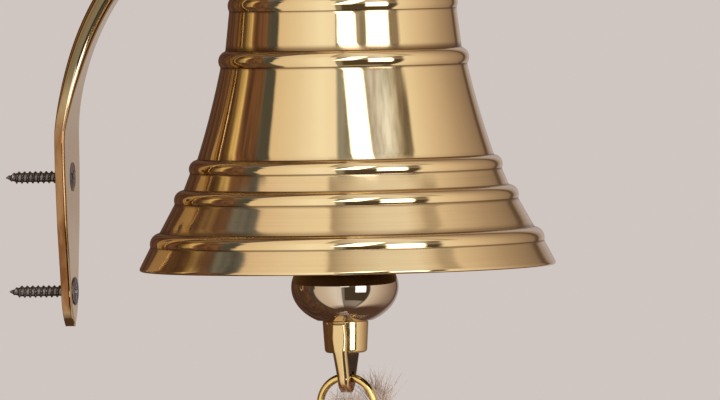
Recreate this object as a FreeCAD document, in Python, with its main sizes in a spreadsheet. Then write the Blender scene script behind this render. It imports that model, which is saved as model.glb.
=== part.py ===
import FreeCAD, Part
import math
import os
import Sketcher

# Hand-rung brass wall bell on a cast bracket, with clapper, pull ring and rope lanyard.
#
# Frame: millimetres, +Z up. The origin is on the back of the wall plate, midway between the two
# screws. The bracket reaches out along +X, and the bell's axis is vertical at X = reach.
# Heights of the bell and of what hangs in it are counted from the bell's lip.

Vector = FreeCAD.Vector
Rotation = FreeCAD.Rotation
Placement = FreeCAD.Placement

DIMENSIONS = {
    # wall bracket
    "reach": 104.0,             # wall to bell axis
    "lip_drop": 13.5,           # lip below the origin
    "screw_spacing": 41.4,
    "plate_thick": 3.7,
    "plate_half_width": 14.5,
    "plate_shoulder": 24.0,     # height where the plate starts to narrow
    "plate_waist": 3.0,
    "plate_waist_half": 12.2,
    "plate_foot_half": 7.3,     # half width at the lower screw
    "plate_tip": -33.4,
    "plate_round": 1.1,         # front edge rounding
    "tip_bow": 16.0,
    "arm_start": 36.0,
    "arm_radius": 96.0,         # outer curve of the arm
    "boss_radius": 10.0,
    "boss_height": 9.6,
    "boss_drop": 0.8,           # boss below the arm's underside
    # wood screws
    "screw_hole": 2.6,
    "countersink": 5.5,
    "head_radius": 5.15,
    "head_cone": 3.0,
    "head_land": 0.35,
    "head_edge": 0.3,           # bevel round the head's face
    "screw_neck": 2.5,          # widest part of the neck, under the head
    "screw_thread": 2.35,
    "thread_start": 0.5,        # behind the plate
    "screw_free": 17.0,         # thread behind the plate
    "screw_point": 4.0,
    "screw_proud": 0.5,         # the lower screw isn't driven quite home
    "recess_half": 2.6,
    "recess_arm": 0.65,
    "recess_deep": 1.9,
    # bell profile, bottom to top
    "lip_radius": 75.0,
    "lip_land": 1.0,
    "lip_chamfer": 0.5,
    "lip_inner": 71.0,
    "crown_top": 124.0,
    "crown_inside": 119.0,
    "crown_radius": 16.5,
    "crown_inside_flat": 13.5,  # radius of the flat that the inner washer bears on
    "crown_foot": 120.4,
    "shoulder_low": 103.0,
    "shoulder_radius": 39.1,
    "shoulder_bow": 16.0,
    "shoulder_end": 24.0,
    "shoulder_top": 118.6,
    "bell_hole": 4.3,
    # stack through the crown and the boss
    "stud_radius": 4.0,
    "stud_top": 160.5,
    "stud_chamfer": 1.0,
    "washer_radius": 10.5,
    "washer_thick": 1.6,
    "top_washer_radius": 9.0,
    "spacer_radius": 8.5,
    "spacer_waist": 6.6,
    "spacer_land": 1.5,
    "spacer_slope": 1.0,
    "lock_radius": 7.0,
    "lock_thick": 2.0,
    "nut_corner": 7.5,
    "nut_height": 7.0,
    "nut_dome": 6.2,
    "nut_dome_height": 6.8,
    "nut_dome_overlap": 1.0,    # the dome starts inside the hexagon
    "nut_bore_spare": 0.5,      # bore above the stud's end
    # fork that the clapper hangs from
    "hang_turn": -8.0,          # fork turned about the bell's axis, degrees
    "pivot": 104.0,
    "fork_radius": 9.5,
    "fork_gap": 8.0,
    "fork_bottom": 96.0,
    "fork_slot_top": 112.6,
    "fork_flat": 8.5,
    "pin_radius": 2.5,
    "pin_play": 0.06,
    "pin_head": 4.2,
    "pin_head_thick": 2.0,
    "pin_tail": 12.4,
    "pin_chamfer": 0.5,
    "cotter_place": 10.2,
    "cotter_radius": 0.75,
    "cotter_play": 0.1,
    "cotter_length": 11.0,
    "cotter_eye": 1.5,
    # clapper
    "side_play": 1.2,           # the clapper's eye rests to one side in the fork
    "eye_radius": 6.5,
    "eye_thick": 5.0,
    "rod_radius": 3.5,
    "rod_neck": 2.35,
    "neck_low": 15.0,           # the rod narrows between these depths below the pin
    "neck_high": 11.5,
    "rod_thread": 3.0,
    "rod_end": -27.0,
    "bob_radius": 19.4,
    "bob_half_height": 14.1,
    "bob_centre": -6.85,
    "collar_top": -18.9,
    "collar_bottom": -30.6,
    "collar_radius": 8.3,
    "collar_foot": 7.7,
    "collar_round": 1.3,
    "lug_half_width": 9.2,
    "lug_top": -19.6,
    "lug_corner_across": 0.35,
    "lug_corner_down": 0.6,
    "lug_straight": -30.0,
    "lug_end_radius": 5.6,
    "lug_thick_top": 4.9,
    "lug_thick_mid": 5.8,
    "lug_thick_end": 4.2,
    "lug_mid": -25.5,
    "lug_hole": 2.0,
    "lug_hole_height": -39.4,
    # pull ring
    "ring_radius": 10.1,        # to the middle of the wire
    "ring_wire": 1.4,
    # lanyard
    "rope_radius": 5.0,
    "eye_bend": 6.75,           # the rope's eye, to its middle line
    "seizing_top": -70.0,
    "seizing_bottom": -83.0,
    "seizing_half": 12.1,
    "seizing_twine": 0.6,       # twine on top of the rope
    "knot_radius": 11.5,
    "knot_half_height": 12.0,
    "knot_height": 21.6,        # after its ends are trimmed flat
    "tassel_radius": 8.5,
    "tassel_neck": 4.5,
    "tassel_length": 27.0,
}

# Each bead: radius and height of its foot, radius of its bulge, radius and height of its top.
BEADS = {
    "lip_bead": (71.0, 8.7, 4.0, 67.6, 13.7),
    "low_bead": (61.9, 24.1, 3.6, 58.6, 29.0),
    "waist_bead": (56.2, 35.0, 3.4, 53.5, 39.9),
    "high_bead": (44.45, 72.9, 3.8, 42.6, 78.8),
    "shoulder_bead": (40.95, 93.0, 4.4, 40.0, 98.3),
}
BEAD_PARTS = ("foot_radius", "foot_height", "bulge", "top_radius", "top_height")

# Wall thickness of the bell, from the lip to the crown.
WALL = {"wall_low": 3.6, "wall_middle": 3.3, "wall_high": 3.0}

# Arm sections: angle round the arm's curve, half width, thickness and corner radius.
ARM_SECTIONS = {
    "root": (0.0, 14.5, 3.7, 1.1),
    "neck": (7.5, 10.2, 4.9, 1.7),
    "low": (16.0, 7.5, 6.0, 2.4),
    "middle": (31.0, 7.0, 6.8, 2.9),
    "high": (50.0, 7.0, 7.2, 3.1),
    "top": (70.0, 7.2, 7.4, 3.2),
    "end": (90.0, 7.6, 7.6, 3.2),
}
SECTION_PARTS = ("angle", "half", "thick", "corner")

# Route of the hanging rope below its seizing: sideways, forwards, and height above the lip.
ROPE_ROUTE = [
    (0.0, 0.0, -83.0),
    (0.0, 0.0, -118.0),
    (1.9, -0.4, -159.0),
    (1.0, 0.6, -201.0),
    (1.0, 0.6, -240.0),
]
# One strand's loose end, which leaves the back of the rope's eye and stands up behind the ring.
TAIL_ROUTE = [(1.0, 8.0, -67.0), (5.8, 9.4, -59.5), (9.8, 10.2, -51.0)]
TAIL_RADIUS = 2.4

LOCK_WASHER_ARC = 352.0     # degrees; the rest is its split
OVERCUT = 1.0               # how far a cut runs past the metal
LINE_TOLERANCE = 1e-6
ARC_PLAY = 0.001            # half circles are this much larger than half their chord

doc = FreeCAD.newDocument("wall_bell")
sheet = doc.addObject("Spreadsheet::Sheet", "Sizes")
nodes = []


class Size:
    """A number together with the spreadsheet formula that gives it."""

    def __init__(self, value, text=None):
        self.value = float(value)
        self.text = text or repr(float(value))

    def __add__(self, other):
        other = as_size(other)
        return Size(self.value + other.value, f"({self.text} + {other.text})")

    def __sub__(self, other):
        other = as_size(other)
        return Size(self.value - other.value, f"({self.text} - {other.text})")

    def __mul__(self, factor):
        return Size(self.value * factor, f"({self.text} * {factor!r})")

    def __truediv__(self, divisor):
        return Size(self.value / divisor, f"({self.text} / {divisor!r})")

    def __neg__(self):
        return Size(-self.value, f"(-1 * {self.text})")


def as_size(number):
    return number if isinstance(number, Size) else Size(number)


ZERO = Size(0)


def fill_sheet():
    """Write every driving dimension to the sheet and give its cell an alias."""
    cells = {**DIMENSIONS, **WALL}
    for bead, numbers in BEADS.items():
        for part, number in zip(BEAD_PARTS, numbers):
            cells[f"{bead}_{part}"] = number
    for section, numbers in ARM_SECTIONS.items():
        for part, number in zip(SECTION_PARTS, numbers):
            cells[f"arm_{section}_{part}"] = number
    for row, (alias, number) in enumerate(cells.items(), start=1):
        sheet.set(f"A{row}", alias)
        sheet.set(f"B{row}", str(number))
        sheet.setAlias(f"B{row}", alias)
    doc.recompute()
    return {alias: Size(number, f"Sizes.{alias}") for alias, number in cells.items()}


D = fill_sheet()


def bind(target, name, size):
    """Set a property and tie it to the sheet."""
    size = as_size(size)
    target.setExpression(name, size.text)


def keep(item, name):
    """Give a finished sub-part its label and put it on the list of nodes."""
    item.Label = name
    nodes.append(item)
    return item


def place(item, east=ZERO, north=ZERO, up=ZERO, rotation=None):
    """Put a sub-part in the frame."""
    east, north, up = as_size(east), as_size(north), as_size(up)
    item.Placement = Placement(Vector(east.value, north.value, up.value), rotation or Rotation())
    bind(item, "Placement.Base.x", east)
    bind(item, "Placement.Base.y", north)
    bind(item, "Placement.Base.z", up)
    return item


def on_bell_axis(item, rotation=None, up=ZERO):
    """Put a sub-part whose heights count from the lip on the bell's axis."""
    return place(item, D["reach"], ZERO, up - D["lip_drop"], rotation)


HANG_ROTATION = Rotation(Vector(0, 0, 1), DIMENSIONS["hang_turn"])


def hang(item):
    """Put a sub-part on the bell's axis, turned with the fork."""
    return on_bell_axis(item, HANG_ROTATION)


def aside_spot():
    """East and north of the line that the clapper hangs on, where its eye rests in the fork."""
    turn = math.radians(DIMENSIONS["hang_turn"])
    return D["reach"] - D["side_play"] * math.cos(turn), D["side_play"] * -math.sin(turn)


def hang_aside(item):
    """Put a piece of the clapper or the lanyard on the line that the clapper hangs on."""
    return place(item, *aside_spot(), -D["lip_drop"], HANG_ROTATION)


def new_body(name):
    body = doc.addObject("PartDesign::Body", name)
    return keep(body, name)


def new_sketch(body, plane, name):
    """A sketch on one of the body's own origin planes."""
    sketch = body.newObject("Sketcher::SketchObject", name)
    support = next(item for item in body.Origin.OriginFeatures if item.Role == plane)
    sketch.AttachmentSupport = [(support, "")]
    sketch.MapMode = "FlatFace"
    return sketch


def fix_point(sketch, edge, end, across, up):
    """Hold one end of an edge at a place given by two sizes."""
    for kind, size, axis in (("DistanceX", across, -2), ("DistanceY", up, -1)):
        if abs(size.value) < LINE_TOLERANCE:
            sketch.addConstraint(Sketcher.Constraint("PointOnObject", edge, end, axis))
            continue
        index = sketch.addConstraint(Sketcher.Constraint(kind, edge, end, size.value))
        bind(sketch, f"Constraints[{index}]", size)


def arc_between(start, end, radius, side):
    """The arc from start to end that curves to the left (side 1) or to the right (side -1)."""
    chord = end - start
    half = chord.Length / 2
    rise = math.sqrt(max(radius * radius - half * half, 0.0))
    left = Vector(-chord.y, chord.x, 0).normalize()
    centre = (start + end) * 0.5 + left * (rise * side)
    first, last = (start, end) if side > 0 else (end, start)
    angles = [math.atan2(point.y - centre.y, point.x - centre.x) for point in (first, last)]
    return Part.ArcOfCircle(Part.Circle(centre, Vector(0, 0, 1), radius), *angles)


def draw(sketch, corners):
    """A closed outline. A corner is (across, up), or (across, up, radius, side) where an arc
    leads on to the next corner, curving to the left (side 1) or to the right (side -1)."""
    corners = [(as_size(c[0]), as_size(c[1])) + tuple(c[2:]) for c in corners]
    first_edge = sketch.GeometryCount
    ends = []
    for corner, following in zip(corners, corners[1:] + corners[:1]):
        start = Vector(corner[0].value, corner[1].value, 0)
        end = Vector(following[0].value, following[1].value, 0)
        if len(corner) == 2:
            sketch.addGeometry(Part.LineSegment(start, end), False)
            ends.append((1, 2))
            continue
        radius, side = as_size(corner[2]), corner[3]
        edge = sketch.addGeometry(arc_between(start, end, radius.value, side), False)
        index = sketch.addConstraint(Sketcher.Constraint("Radius", edge, radius.value))
        bind(sketch, f"Constraints[{index}]", radius)
        ends.append((1, 2) if side > 0 else (2, 1))
    count = len(corners)
    for i, corner in enumerate(corners):
        before = (i - 1) % count
        sketch.addConstraint(Sketcher.Constraint(
            "Coincident", first_edge + before, ends[before][1], first_edge + i, ends[i][0]))
        fix_point(sketch, first_edge + i, ends[i][0], corner[0], corner[1])
    return sketch


def circle(sketch, across, up, radius):
    """A full circle held by its centre and radius."""
    across, up, radius = as_size(across), as_size(up), as_size(radius)
    centre = Vector(across.value, up.value, 0)
    edge = sketch.addGeometry(Part.Circle(centre, Vector(0, 0, 1), radius.value), False)
    fix_point(sketch, edge, 3, across, up)
    index = sketch.addConstraint(Sketcher.Constraint("Radius", edge, radius.value))
    bind(sketch, f"Constraints[{index}]", radius)
    return sketch


def rectangle(low_across, low_up, high_across, high_up):
    return [(low_across, low_up), (high_across, low_up), (high_across, high_up), (low_across, high_up)]


def revolve(body, corners, name, angle=360.0):
    """Turn an outline drawn in the XZ plane about the body's Z axis."""
    sketch = draw(new_sketch(body, "XZ_Plane", name + "_outline"), corners)
    feature = body.newObject("PartDesign::Revolution", name)
    feature.Profile = sketch
    feature.ReferenceAxis = (sketch, ["V_Axis"])
    feature.Angle = angle
    return feature


def pad(body, sketch, length, name, middle=False, back=False):
    feature = body.newObject("PartDesign::Pad", name)
    feature.Profile = sketch
    bind(feature, "Length", length)
    feature.Midplane = middle
    feature.Reversed = back
    return feature


def pocket(body, sketch, name, length=None, back=False):
    """Cut along the sketch's normal: to a depth, or right through both ways."""
    feature = body.newObject("PartDesign::Pocket", name)
    feature.Profile = sketch
    if length is None:
        feature.Type = "ThroughAll"
        feature.Midplane = True
    else:
        bind(feature, "Length", length)
        feature.Reversed = back
    return feature


def turned(name, corners, angle=360.0):
    """A body made by turning one outline."""
    body = new_body(name)
    revolve(body, corners, name + "_turned", angle)
    return body


def washer(name, bore, radius, low, high, angle=360.0):
    body = turned(name, rectangle(bore, low, radius, high), angle)
    return on_bell_axis(body)


# ---------------------------------------------------------------- wall bracket

def plate_outline():
    """The plate seen from the front: shoulders, then a long taper to a pointed tongue."""
    right = [
        (D["plate_half_width"], D["arm_start"]),
        (D["plate_half_width"], D["plate_shoulder"]),
        (D["plate_waist_half"], D["plate_waist"]),
        (D["plate_foot_half"], D["screw_spacing"] / -2),
    ]
    tip = (ZERO, D["plate_tip"], D["tip_bow"], -1)
    left = [(-across, up) for across, up in reversed(right)]
    right[-1] = right[-1] + (D["tip_bow"], -1)
    return right[:-1] + [right[-1], tip] + left


def arm_section(body, section):
    """A rounded rectangle across the arm, at its angle round the arm's curve."""
    angle = D[f"arm_{section}_angle"]
    half = D[f"arm_{section}_half"]
    thick = D[f"arm_{section}_thick"]
    corner = D[f"arm_{section}_corner"]
    sketch = new_sketch(body, "XY_Plane", f"arm_{section}")
    draw(sketch, [
        (corner, -half), (thick - corner, -half, corner, 1),
        (thick, corner - half), (thick, half - corner, corner, 1),
        (thick - corner, half), (corner, half, corner, 1),
        (ZERO, half - corner), (ZERO, corner - half, corner, 1),
    ])
    turn = math.radians(angle.value)
    sketch.AttachmentOffset = Placement(
        Vector(D["arm_radius"].value * (1 - math.cos(turn)), 0,
               D["arm_start"].value + D["arm_radius"].value * math.sin(turn)),
        Rotation(Vector(0, 1, 0), angle.value))
    around = f"{D['arm_radius'].text} * "
    bind(sketch, "AttachmentOffset.Base.x", Size(0, f"{around}(1 - cos({angle.text} * 1 deg))"))
    bind(sketch, "AttachmentOffset.Base.z",
         Size(0, f"{D['arm_start'].text} + {around}sin({angle.text} * 1 deg)"))
    return sketch


def round_front_edges(body):
    """Round the plate's front rim, all but its top edge, which the arm carries on."""
    base = body.Tip
    thick = DIMENSIONS["plate_thick"]
    rim = []
    for number, edge in enumerate(base.Shape.Edges, start=1):
        box = edge.BoundBox
        on_front = max(abs(box.XMin - thick), abs(box.XMax - thick)) < LINE_TOLERANCE
        if on_front and box.ZMin < DIMENSIONS["arm_start"] - LINE_TOLERANCE:
            rim.append(f"Edge{number}")
    feature = body.newObject("PartDesign::Fillet", "plate_rim")
    feature.Base = (base, rim)
    bind(feature, "Radius", D["plate_round"])
    return feature


def make_bracket():
    body = new_body("wall_bracket")
    outline = draw(new_sketch(body, "YZ_Plane", "plate_outline"), plate_outline())
    pad(body, outline, D["plate_thick"], "plate")
    doc.recompute()
    round_front_edges(body)
    doc.recompute()
    sections = [arm_section(body, section) for section in ARM_SECTIONS]
    arm = body.newObject("PartDesign::AdditiveLoft", "arm")
    arm.Profile = sections[0]
    arm.Sections = sections[1:]
    doc.recompute()
    underside = D["arm_start"] + D["arm_radius"] - D["arm_end_thick"] - D["boss_drop"]
    boss = circle(new_sketch(body, "XY_Plane", "boss_outline"), D["reach"], ZERO, D["boss_radius"])
    boss.AttachmentOffset = Placement(Vector(0, 0, underside.value), Rotation())
    bind(boss, "AttachmentOffset.Base.z", underside)
    pad(body, boss, D["boss_height"], "boss")
    hole = circle(new_sketch(body, "XY_Plane", "boss_hole_outline"), D["reach"], ZERO, D["bell_hole"])
    pocket(body, hole, "boss_hole")
    return body


def cut_screw_holes(body):
    """Countersunk holes through the plate, one above and one below the origin."""
    for name, side in (("upper", 0.5), ("lower", -0.5)):
        height = D["screw_spacing"] * side
        through = circle(new_sketch(body, "YZ_Plane", name + "_hole"), ZERO, height, D["screw_hole"])
        pocket(body, through, name + "_hole_cut")
        mouth = new_sketch(body, "XZ_Plane", name + "_countersink")
        depth = D["countersink"] - D["screw_hole"]
        over = D["plate_thick"] + OVERCUT
        draw(mouth, [
            (D["plate_thick"] - depth, height), (D["plate_thick"] - depth, height + D["screw_hole"]),
            (D["plate_thick"], height + D["countersink"]), (over, height + D["countersink"]),
            (over, height)])
        groove = body.newObject("PartDesign::Groove", name + "_countersink_cut")
        groove.Profile = mouth
        groove.ReferenceAxis = (mouth, ["Edge5"])
        groove.Angle = 360.0
    return body


def make_screw(name, side, proud):
    """A countersunk wood screw; its thread is a plain cylinder here."""
    top = D["head_land"]
    cone = D["head_cone"]
    thread_start = D["plate_thick"] + D["thread_start"]
    thread_end = D["plate_thick"] + D["screw_free"]
    body = turned(name, [
        (ZERO, -thread_end - D["screw_point"]),
        (D["screw_thread"], -thread_end),
        (D["screw_thread"], -thread_start),
        (D["screw_neck"], -cone),
        (D["head_radius"], -top),
        (D["head_radius"] - D["head_edge"], ZERO),
        (ZERO, ZERO),
    ])
    half, arm = D["recess_half"], D["recess_arm"]
    cross = [(arm, arm), (half, arm), (half, -arm), (arm, -arm), (arm, -half), (-arm, -half),
             (-arm, -arm), (-half, -arm), (-half, arm), (-arm, arm), (-arm, half), (arm, half)]
    recess = draw(new_sketch(body, "XY_Plane", name + "_recess"), cross)
    pocket(body, recess, name + "_recess_cut", D["recess_deep"])
    facing_out = Rotation(Vector(0, 1, 0), 90)
    return place(body, D["plate_thick"] + proud, ZERO, D["screw_spacing"] * side, facing_out)


# ---------------------------------------------------------------- bell

def bead_corners(bead):
    """A bead's bulging foot corner and its top corner, on the way up the bell's outside."""
    return [
        (D[f"{bead}_foot_radius"], D[f"{bead}_foot_height"], D[f"{bead}_bulge"], 1),
        (D[f"{bead}_top_radius"], D[f"{bead}_top_height"]),
    ]


def make_bell():
    """Outside from the lip to the crown, then the smooth inside back down."""
    outside = [
        (D["lip_inner"], ZERO),
        (D["lip_radius"] - D["lip_chamfer"], ZERO),
        (D["lip_radius"], D["lip_chamfer"]),
        (D["lip_radius"], D["lip_land"]),
    ]
    for bead in BEADS:
        outside += bead_corners(bead)
    outside += [
        (D["shoulder_radius"], D["shoulder_low"], D["shoulder_bow"], 1),
        (D["shoulder_end"], D["shoulder_top"]),
        (D["crown_radius"], D["crown_foot"]),
        (D["crown_radius"], D["crown_top"]),
        (D["bell_hole"], D["crown_top"]),
    ]
    inner_bow = D["shoulder_bow"] - D["wall_high"]
    inside = [
        (D["bell_hole"], D["crown_inside"]),
        (D["crown_inside_flat"], D["crown_inside"]),
        (D["shoulder_end"], D["shoulder_top"] - D["wall_high"], inner_bow, -1),
        (D["shoulder_radius"] - D["wall_high"], D["shoulder_low"]),
        (D["high_bead_top_radius"] - D["wall_high"], D["high_bead_top_height"]),
        (D["high_bead_foot_radius"] - D["wall_high"], D["high_bead_foot_height"]),
        (D["waist_bead_top_radius"] - D["wall_middle"], D["waist_bead_top_height"]),
        (D["low_bead_top_radius"] - D["wall_middle"], D["low_bead_top_height"]),
        (D["lip_bead_top_radius"] - D["wall_low"], D["lip_bead_top_height"]),
    ]
    return on_bell_axis(turned("bell_shell", outside + inside))


# ---------------------------------------------------------------- hanger stack

def make_stack():
    """Everything that the stud clamps, from inside the crown to the nut on top."""
    bore = D["bell_hole"]
    crown = D["crown_top"]
    thick = D["washer_thick"]
    boss_low = D["lip_drop"] + D["arm_start"] + D["arm_radius"] - D["arm_end_thick"] - D["boss_drop"]
    boss_top = boss_low + D["boss_height"]
    washer("inner_washer", bore, D["washer_radius"], D["crown_inside"] - thick, D["crown_inside"])
    washer("crown_washer", bore, D["washer_radius"], crown, crown + thick)
    spacer_low = crown + thick
    land_low = spacer_low + D["spacer_land"]
    land_high = boss_low - D["spacer_land"]
    spacer = turned("spacer_collar", [
        (bore, spacer_low), (D["spacer_radius"], spacer_low), (D["spacer_radius"], land_low),
        (D["spacer_waist"], land_low + D["spacer_slope"]),
        (D["spacer_waist"], land_high - D["spacer_slope"]),
        (D["spacer_radius"], land_high), (D["spacer_radius"], boss_low), (bore, boss_low)])
    on_bell_axis(spacer)
    washer("top_washer", bore, D["top_washer_radius"], boss_top, boss_top + thick)
    lock_top = boss_top + thick + D["lock_thick"]
    washer("lock_washer", bore, D["lock_radius"], boss_top + thick, lock_top, LOCK_WASHER_ARC)
    make_dome_nut(lock_top)


def make_dome_nut(seat):
    """Hexagon with a closed dome, bored for the stud."""
    body = new_body("dome_nut")
    corner = D["nut_corner"]
    spots = [(corner * math.cos(math.radians(60 * i)), corner * math.sin(math.radians(60 * i)))
             for i in range(6)]
    hexagon = draw(new_sketch(body, "XY_Plane", "hexagon"), spots)
    hexagon.AttachmentOffset = Placement(Vector(0, 0, seat.value), Rotation())
    bind(hexagon, "AttachmentOffset.Base.z", seat)
    pad(body, hexagon, D["nut_height"], "hexagon_pad")
    dome_low = seat + D["nut_height"]
    inside = dome_low - D["nut_dome_overlap"]
    radius = D["nut_dome"]
    revolve(body, [
        (ZERO, inside), (radius, inside), (radius, dome_low, D["nut_dome_height"], 1),
        (ZERO, dome_low + D["nut_dome_height"])], "dome")
    bore_top = D["stud_top"] + D["nut_bore_spare"]
    bore = circle(new_sketch(body, "XY_Plane", "nut_bore_outline"), ZERO, ZERO, D["stud_radius"])
    bore.AttachmentOffset = Placement(Vector(0, 0, bore_top.value), Rotation())
    bind(bore, "AttachmentOffset.Base.z", bore_top)
    pocket(body, bore, "nut_bore", bore_top - seat)
    return on_bell_axis(body)


def make_hanger():
    """Threaded stud with a fork at its lower end for the clapper's pin."""
    body = new_body("hanger_fork")
    shoulder = D["crown_inside"] - D["washer_thick"]
    revolve(body, [
        (ZERO, D["fork_bottom"]), (D["fork_radius"], D["fork_bottom"]), (D["fork_radius"], shoulder),
        (D["stud_radius"], shoulder), (D["stud_radius"], D["stud_top"] - D["stud_chamfer"]),
        (D["stud_radius"] - D["stud_chamfer"], D["stud_top"]), (ZERO, D["stud_top"])], "stud")
    below = D["fork_bottom"] - OVERCUT
    beyond = D["fork_radius"] + OVERCUT
    gap = draw(new_sketch(body, "XZ_Plane", "fork_gap_outline"),
               rectangle(-D["fork_gap"] / 2, below, D["fork_gap"] / 2, D["fork_slot_top"]))
    pocket(body, gap, "fork_gap")
    for side, name in ((1, "front"), (-1, "rear")):
        flat = draw(new_sketch(body, "XZ_Plane", name + "_flat_outline"), rectangle(
            D["fork_flat"] * side, below, beyond * side, D["fork_slot_top"]))
        pocket(body, flat, name + "_flat")
    hole = circle(new_sketch(body, "YZ_Plane", "pin_hole_outline"), ZERO, D["pivot"],
                  D["pin_radius"] + D["pin_play"])
    pocket(body, hole, "pin_hole")
    return hang(body)


def make_clevis_pin():
    """Headed pin across the fork, drilled at its tail for a split pin."""
    body = new_body("clevis_pin")
    revolve(body, [
        (ZERO, -D["pin_tail"]), (D["pin_radius"] - D["pin_chamfer"], -D["pin_tail"]),
        (D["pin_radius"], D["pin_chamfer"] - D["pin_tail"]),
        (D["pin_radius"], D["fork_flat"]), (D["pin_head"], D["fork_flat"]),
        (D["pin_head"], D["fork_flat"] + D["pin_head_thick"]),
        (ZERO, D["fork_flat"] + D["pin_head_thick"])], "pin")
    hole = circle(new_sketch(body, "XZ_Plane", "cotter_hole_outline"), ZERO, -D["cotter_place"],
                  D["cotter_radius"] + D["cotter_play"])
    pocket(body, hole, "cotter_hole")
    along = HANG_ROTATION.multiply(Rotation(Vector(0, 1, 0), 90))
    return on_bell_axis(body, along, D["pivot"])


def make_split_pin():
    """Split pin with a ring eye, through the clevis pin's tail."""
    leg = doc.addObject("Part::Cylinder", "split_pin_leg")
    bind(leg, "Radius", D["cotter_radius"])
    bind(leg, "Height", D["cotter_length"])
    eye = doc.addObject("Part::Torus", "split_pin_eye")
    bind(eye, "Radius1", D["cotter_eye"])
    bind(eye, "Radius2", D["cotter_radius"])
    place(eye, up=-(D["cotter_eye"] + D["cotter_radius"] / 3), rotation=Rotation(Vector(1, 0, 0), 90))
    pin = doc.addObject("Part::Fuse", "split_pin")
    pin.Base = leg
    pin.Tool = eye
    turn = math.radians(DIMENSIONS["hang_turn"])
    east = D["reach"] - D["cotter_place"] * math.cos(turn) - D["cotter_length"] * 0.5 * math.sin(turn)
    north = D["cotter_place"] * -math.sin(turn) + D["cotter_length"] * 0.5 * math.cos(turn)
    lying = HANG_ROTATION.multiply(Rotation(Vector(1, 0, 0), 90))
    place(pin, east, north, D["pivot"] - D["lip_drop"], lying)
    return keep(pin, "split_pin")


# ---------------------------------------------------------------- clapper

def make_clapper_rod():
    """Round rod with a flat eye on top and a thinner threaded end."""
    body = new_body("clapper_rod")
    eye = circle(new_sketch(body, "YZ_Plane", "eye_outline"), ZERO, D["pivot"], D["eye_radius"])
    pad(body, eye, D["eye_thick"], "eye", middle=True)
    revolve(body, [
        (ZERO, D["rod_end"]), (D["rod_thread"], D["rod_end"]), (D["rod_thread"], D["collar_top"]),
        (D["rod_radius"], D["collar_top"]), (D["rod_radius"], D["pivot"] - D["neck_low"]),
        (D["rod_neck"], D["pivot"] - D["neck_high"]),
        (D["rod_neck"], D["pivot"] - D["pin_radius"]),
        (ZERO, D["pivot"] - D["pin_radius"])], "rod")
    hole = circle(new_sketch(body, "YZ_Plane", "eye_hole_outline"), ZERO, D["pivot"],
                  D["pin_radius"] + D["pin_play"])
    pocket(body, hole, "eye_hole")
    return hang_aside(body)


def make_clapper_bob():
    """Flattened ball, bored for the rod and faced off where the collar meets it."""
    ball = doc.addObject("Part::Ellipsoid", "bob_ball")
    bind(ball, "Radius1", D["bob_half_height"])
    bind(ball, "Radius2", D["bob_radius"])
    bind(ball, "Radius3", D["bob_radius"])
    place(ball, up=D["bob_centre"])
    bore = doc.addObject("Part::Cylinder", "bob_bore")
    bind(bore, "Radius", D["rod_radius"])
    bind(bore, "Height", D["bob_half_height"] * 3)
    place(bore, up=D["bob_centre"] - D["bob_half_height"] * 1.5)
    below = doc.addObject("Part::Cylinder", "bob_facing")
    bind(below, "Radius", D["bob_radius"] + OVERCUT)
    bind(below, "Height", D["bob_half_height"])
    place(below, up=D["collar_top"] - D["bob_half_height"])
    bored = doc.addObject("Part::Cut", "bob_bored")
    bored.Base = ball
    bored.Tool = bore
    bob = doc.addObject("Part::Cut", "clapper_bob")
    bob.Base = bored
    bob.Tool = below
    return hang_aside(keep(bob, "clapper_bob"))


def make_clapper_tail():
    """Collar under the bob, cast in one piece with a flat lug for the ring."""
    body = new_body("clapper_tail")
    half = D["lug_half_width"]
    side = D["lug_end_radius"]
    top_half = half - D["lug_corner_across"]
    shoulder = D["lug_top"] - D["lug_corner_down"]
    outline = draw(new_sketch(body, "YZ_Plane", "lug_outline"), [
        (top_half, D["lug_top"]), (-top_half, D["lug_top"]), (-half, shoulder),
        (-half, D["lug_straight"]),
        (-side, D["lug_hole_height"], side + ARC_PLAY, 1), (side, D["lug_hole_height"]),
        (half, D["lug_straight"]), (half, shoulder)])
    pad(body, outline, D["lug_thick_mid"], "lug", middle=True)
    wide = D["lug_thick_mid"]
    tip = D["lug_hole_height"] - D["lug_end_radius"] - OVERCUT
    over = D["lug_top"] + OVERCUT
    for name, sign in (("right", 1), ("left", -1)):
        slim = draw(new_sketch(body, "XZ_Plane", f"lug_{name}_taper"), [
            (D["lug_thick_mid"] / 2 * sign, D["lug_mid"]), (D["lug_thick_end"] / 2 * sign, tip),
            (wide * sign, tip), (wide * sign, over), (D["lug_thick_top"] / 2 * sign, over)])
        pocket(body, slim, f"lug_{name}_taper_cut")
    revolve(body, [
        (ZERO, D["collar_bottom"]), (D["collar_foot"] - D["collar_round"], D["collar_bottom"],
                                     D["collar_round"], 1),
        (D["collar_foot"], D["collar_bottom"] + D["collar_round"]),
        (D["collar_radius"], D["collar_top"]), (ZERO, D["collar_top"])], "collar")
    hole = circle(new_sketch(body, "YZ_Plane", "ring_hole_outline"), ZERO, D["lug_hole_height"],
                  D["lug_hole"])
    pocket(body, hole, "ring_hole")
    socket = circle(new_sketch(body, "XY_Plane", "socket_outline"), ZERO, ZERO, D["rod_thread"])
    socket.AttachmentOffset = Placement(Vector(0, 0, D["collar_top"].value), Rotation())
    bind(socket, "AttachmentOffset.Base.z", D["collar_top"])
    pocket(body, socket, "socket", D["collar_top"] - D["rod_end"])
    return hang_aside(body)


# ---------------------------------------------------------------- ring and lanyard

def ring_centre():
    return D["lug_hole_height"] - D["ring_radius"]


def make_pull_ring():
    ring = doc.addObject("Part::Torus", "pull_ring")
    bind(ring, "Radius1", D["ring_radius"])
    bind(ring, "Radius2", D["ring_wire"])
    keep(ring, "pull_ring")
    upright = HANG_ROTATION.multiply(Rotation(Vector(1, 0, 0), 90))
    return place(ring, *aside_spot(), ring_centre() - D["lip_drop"], upright)


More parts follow.
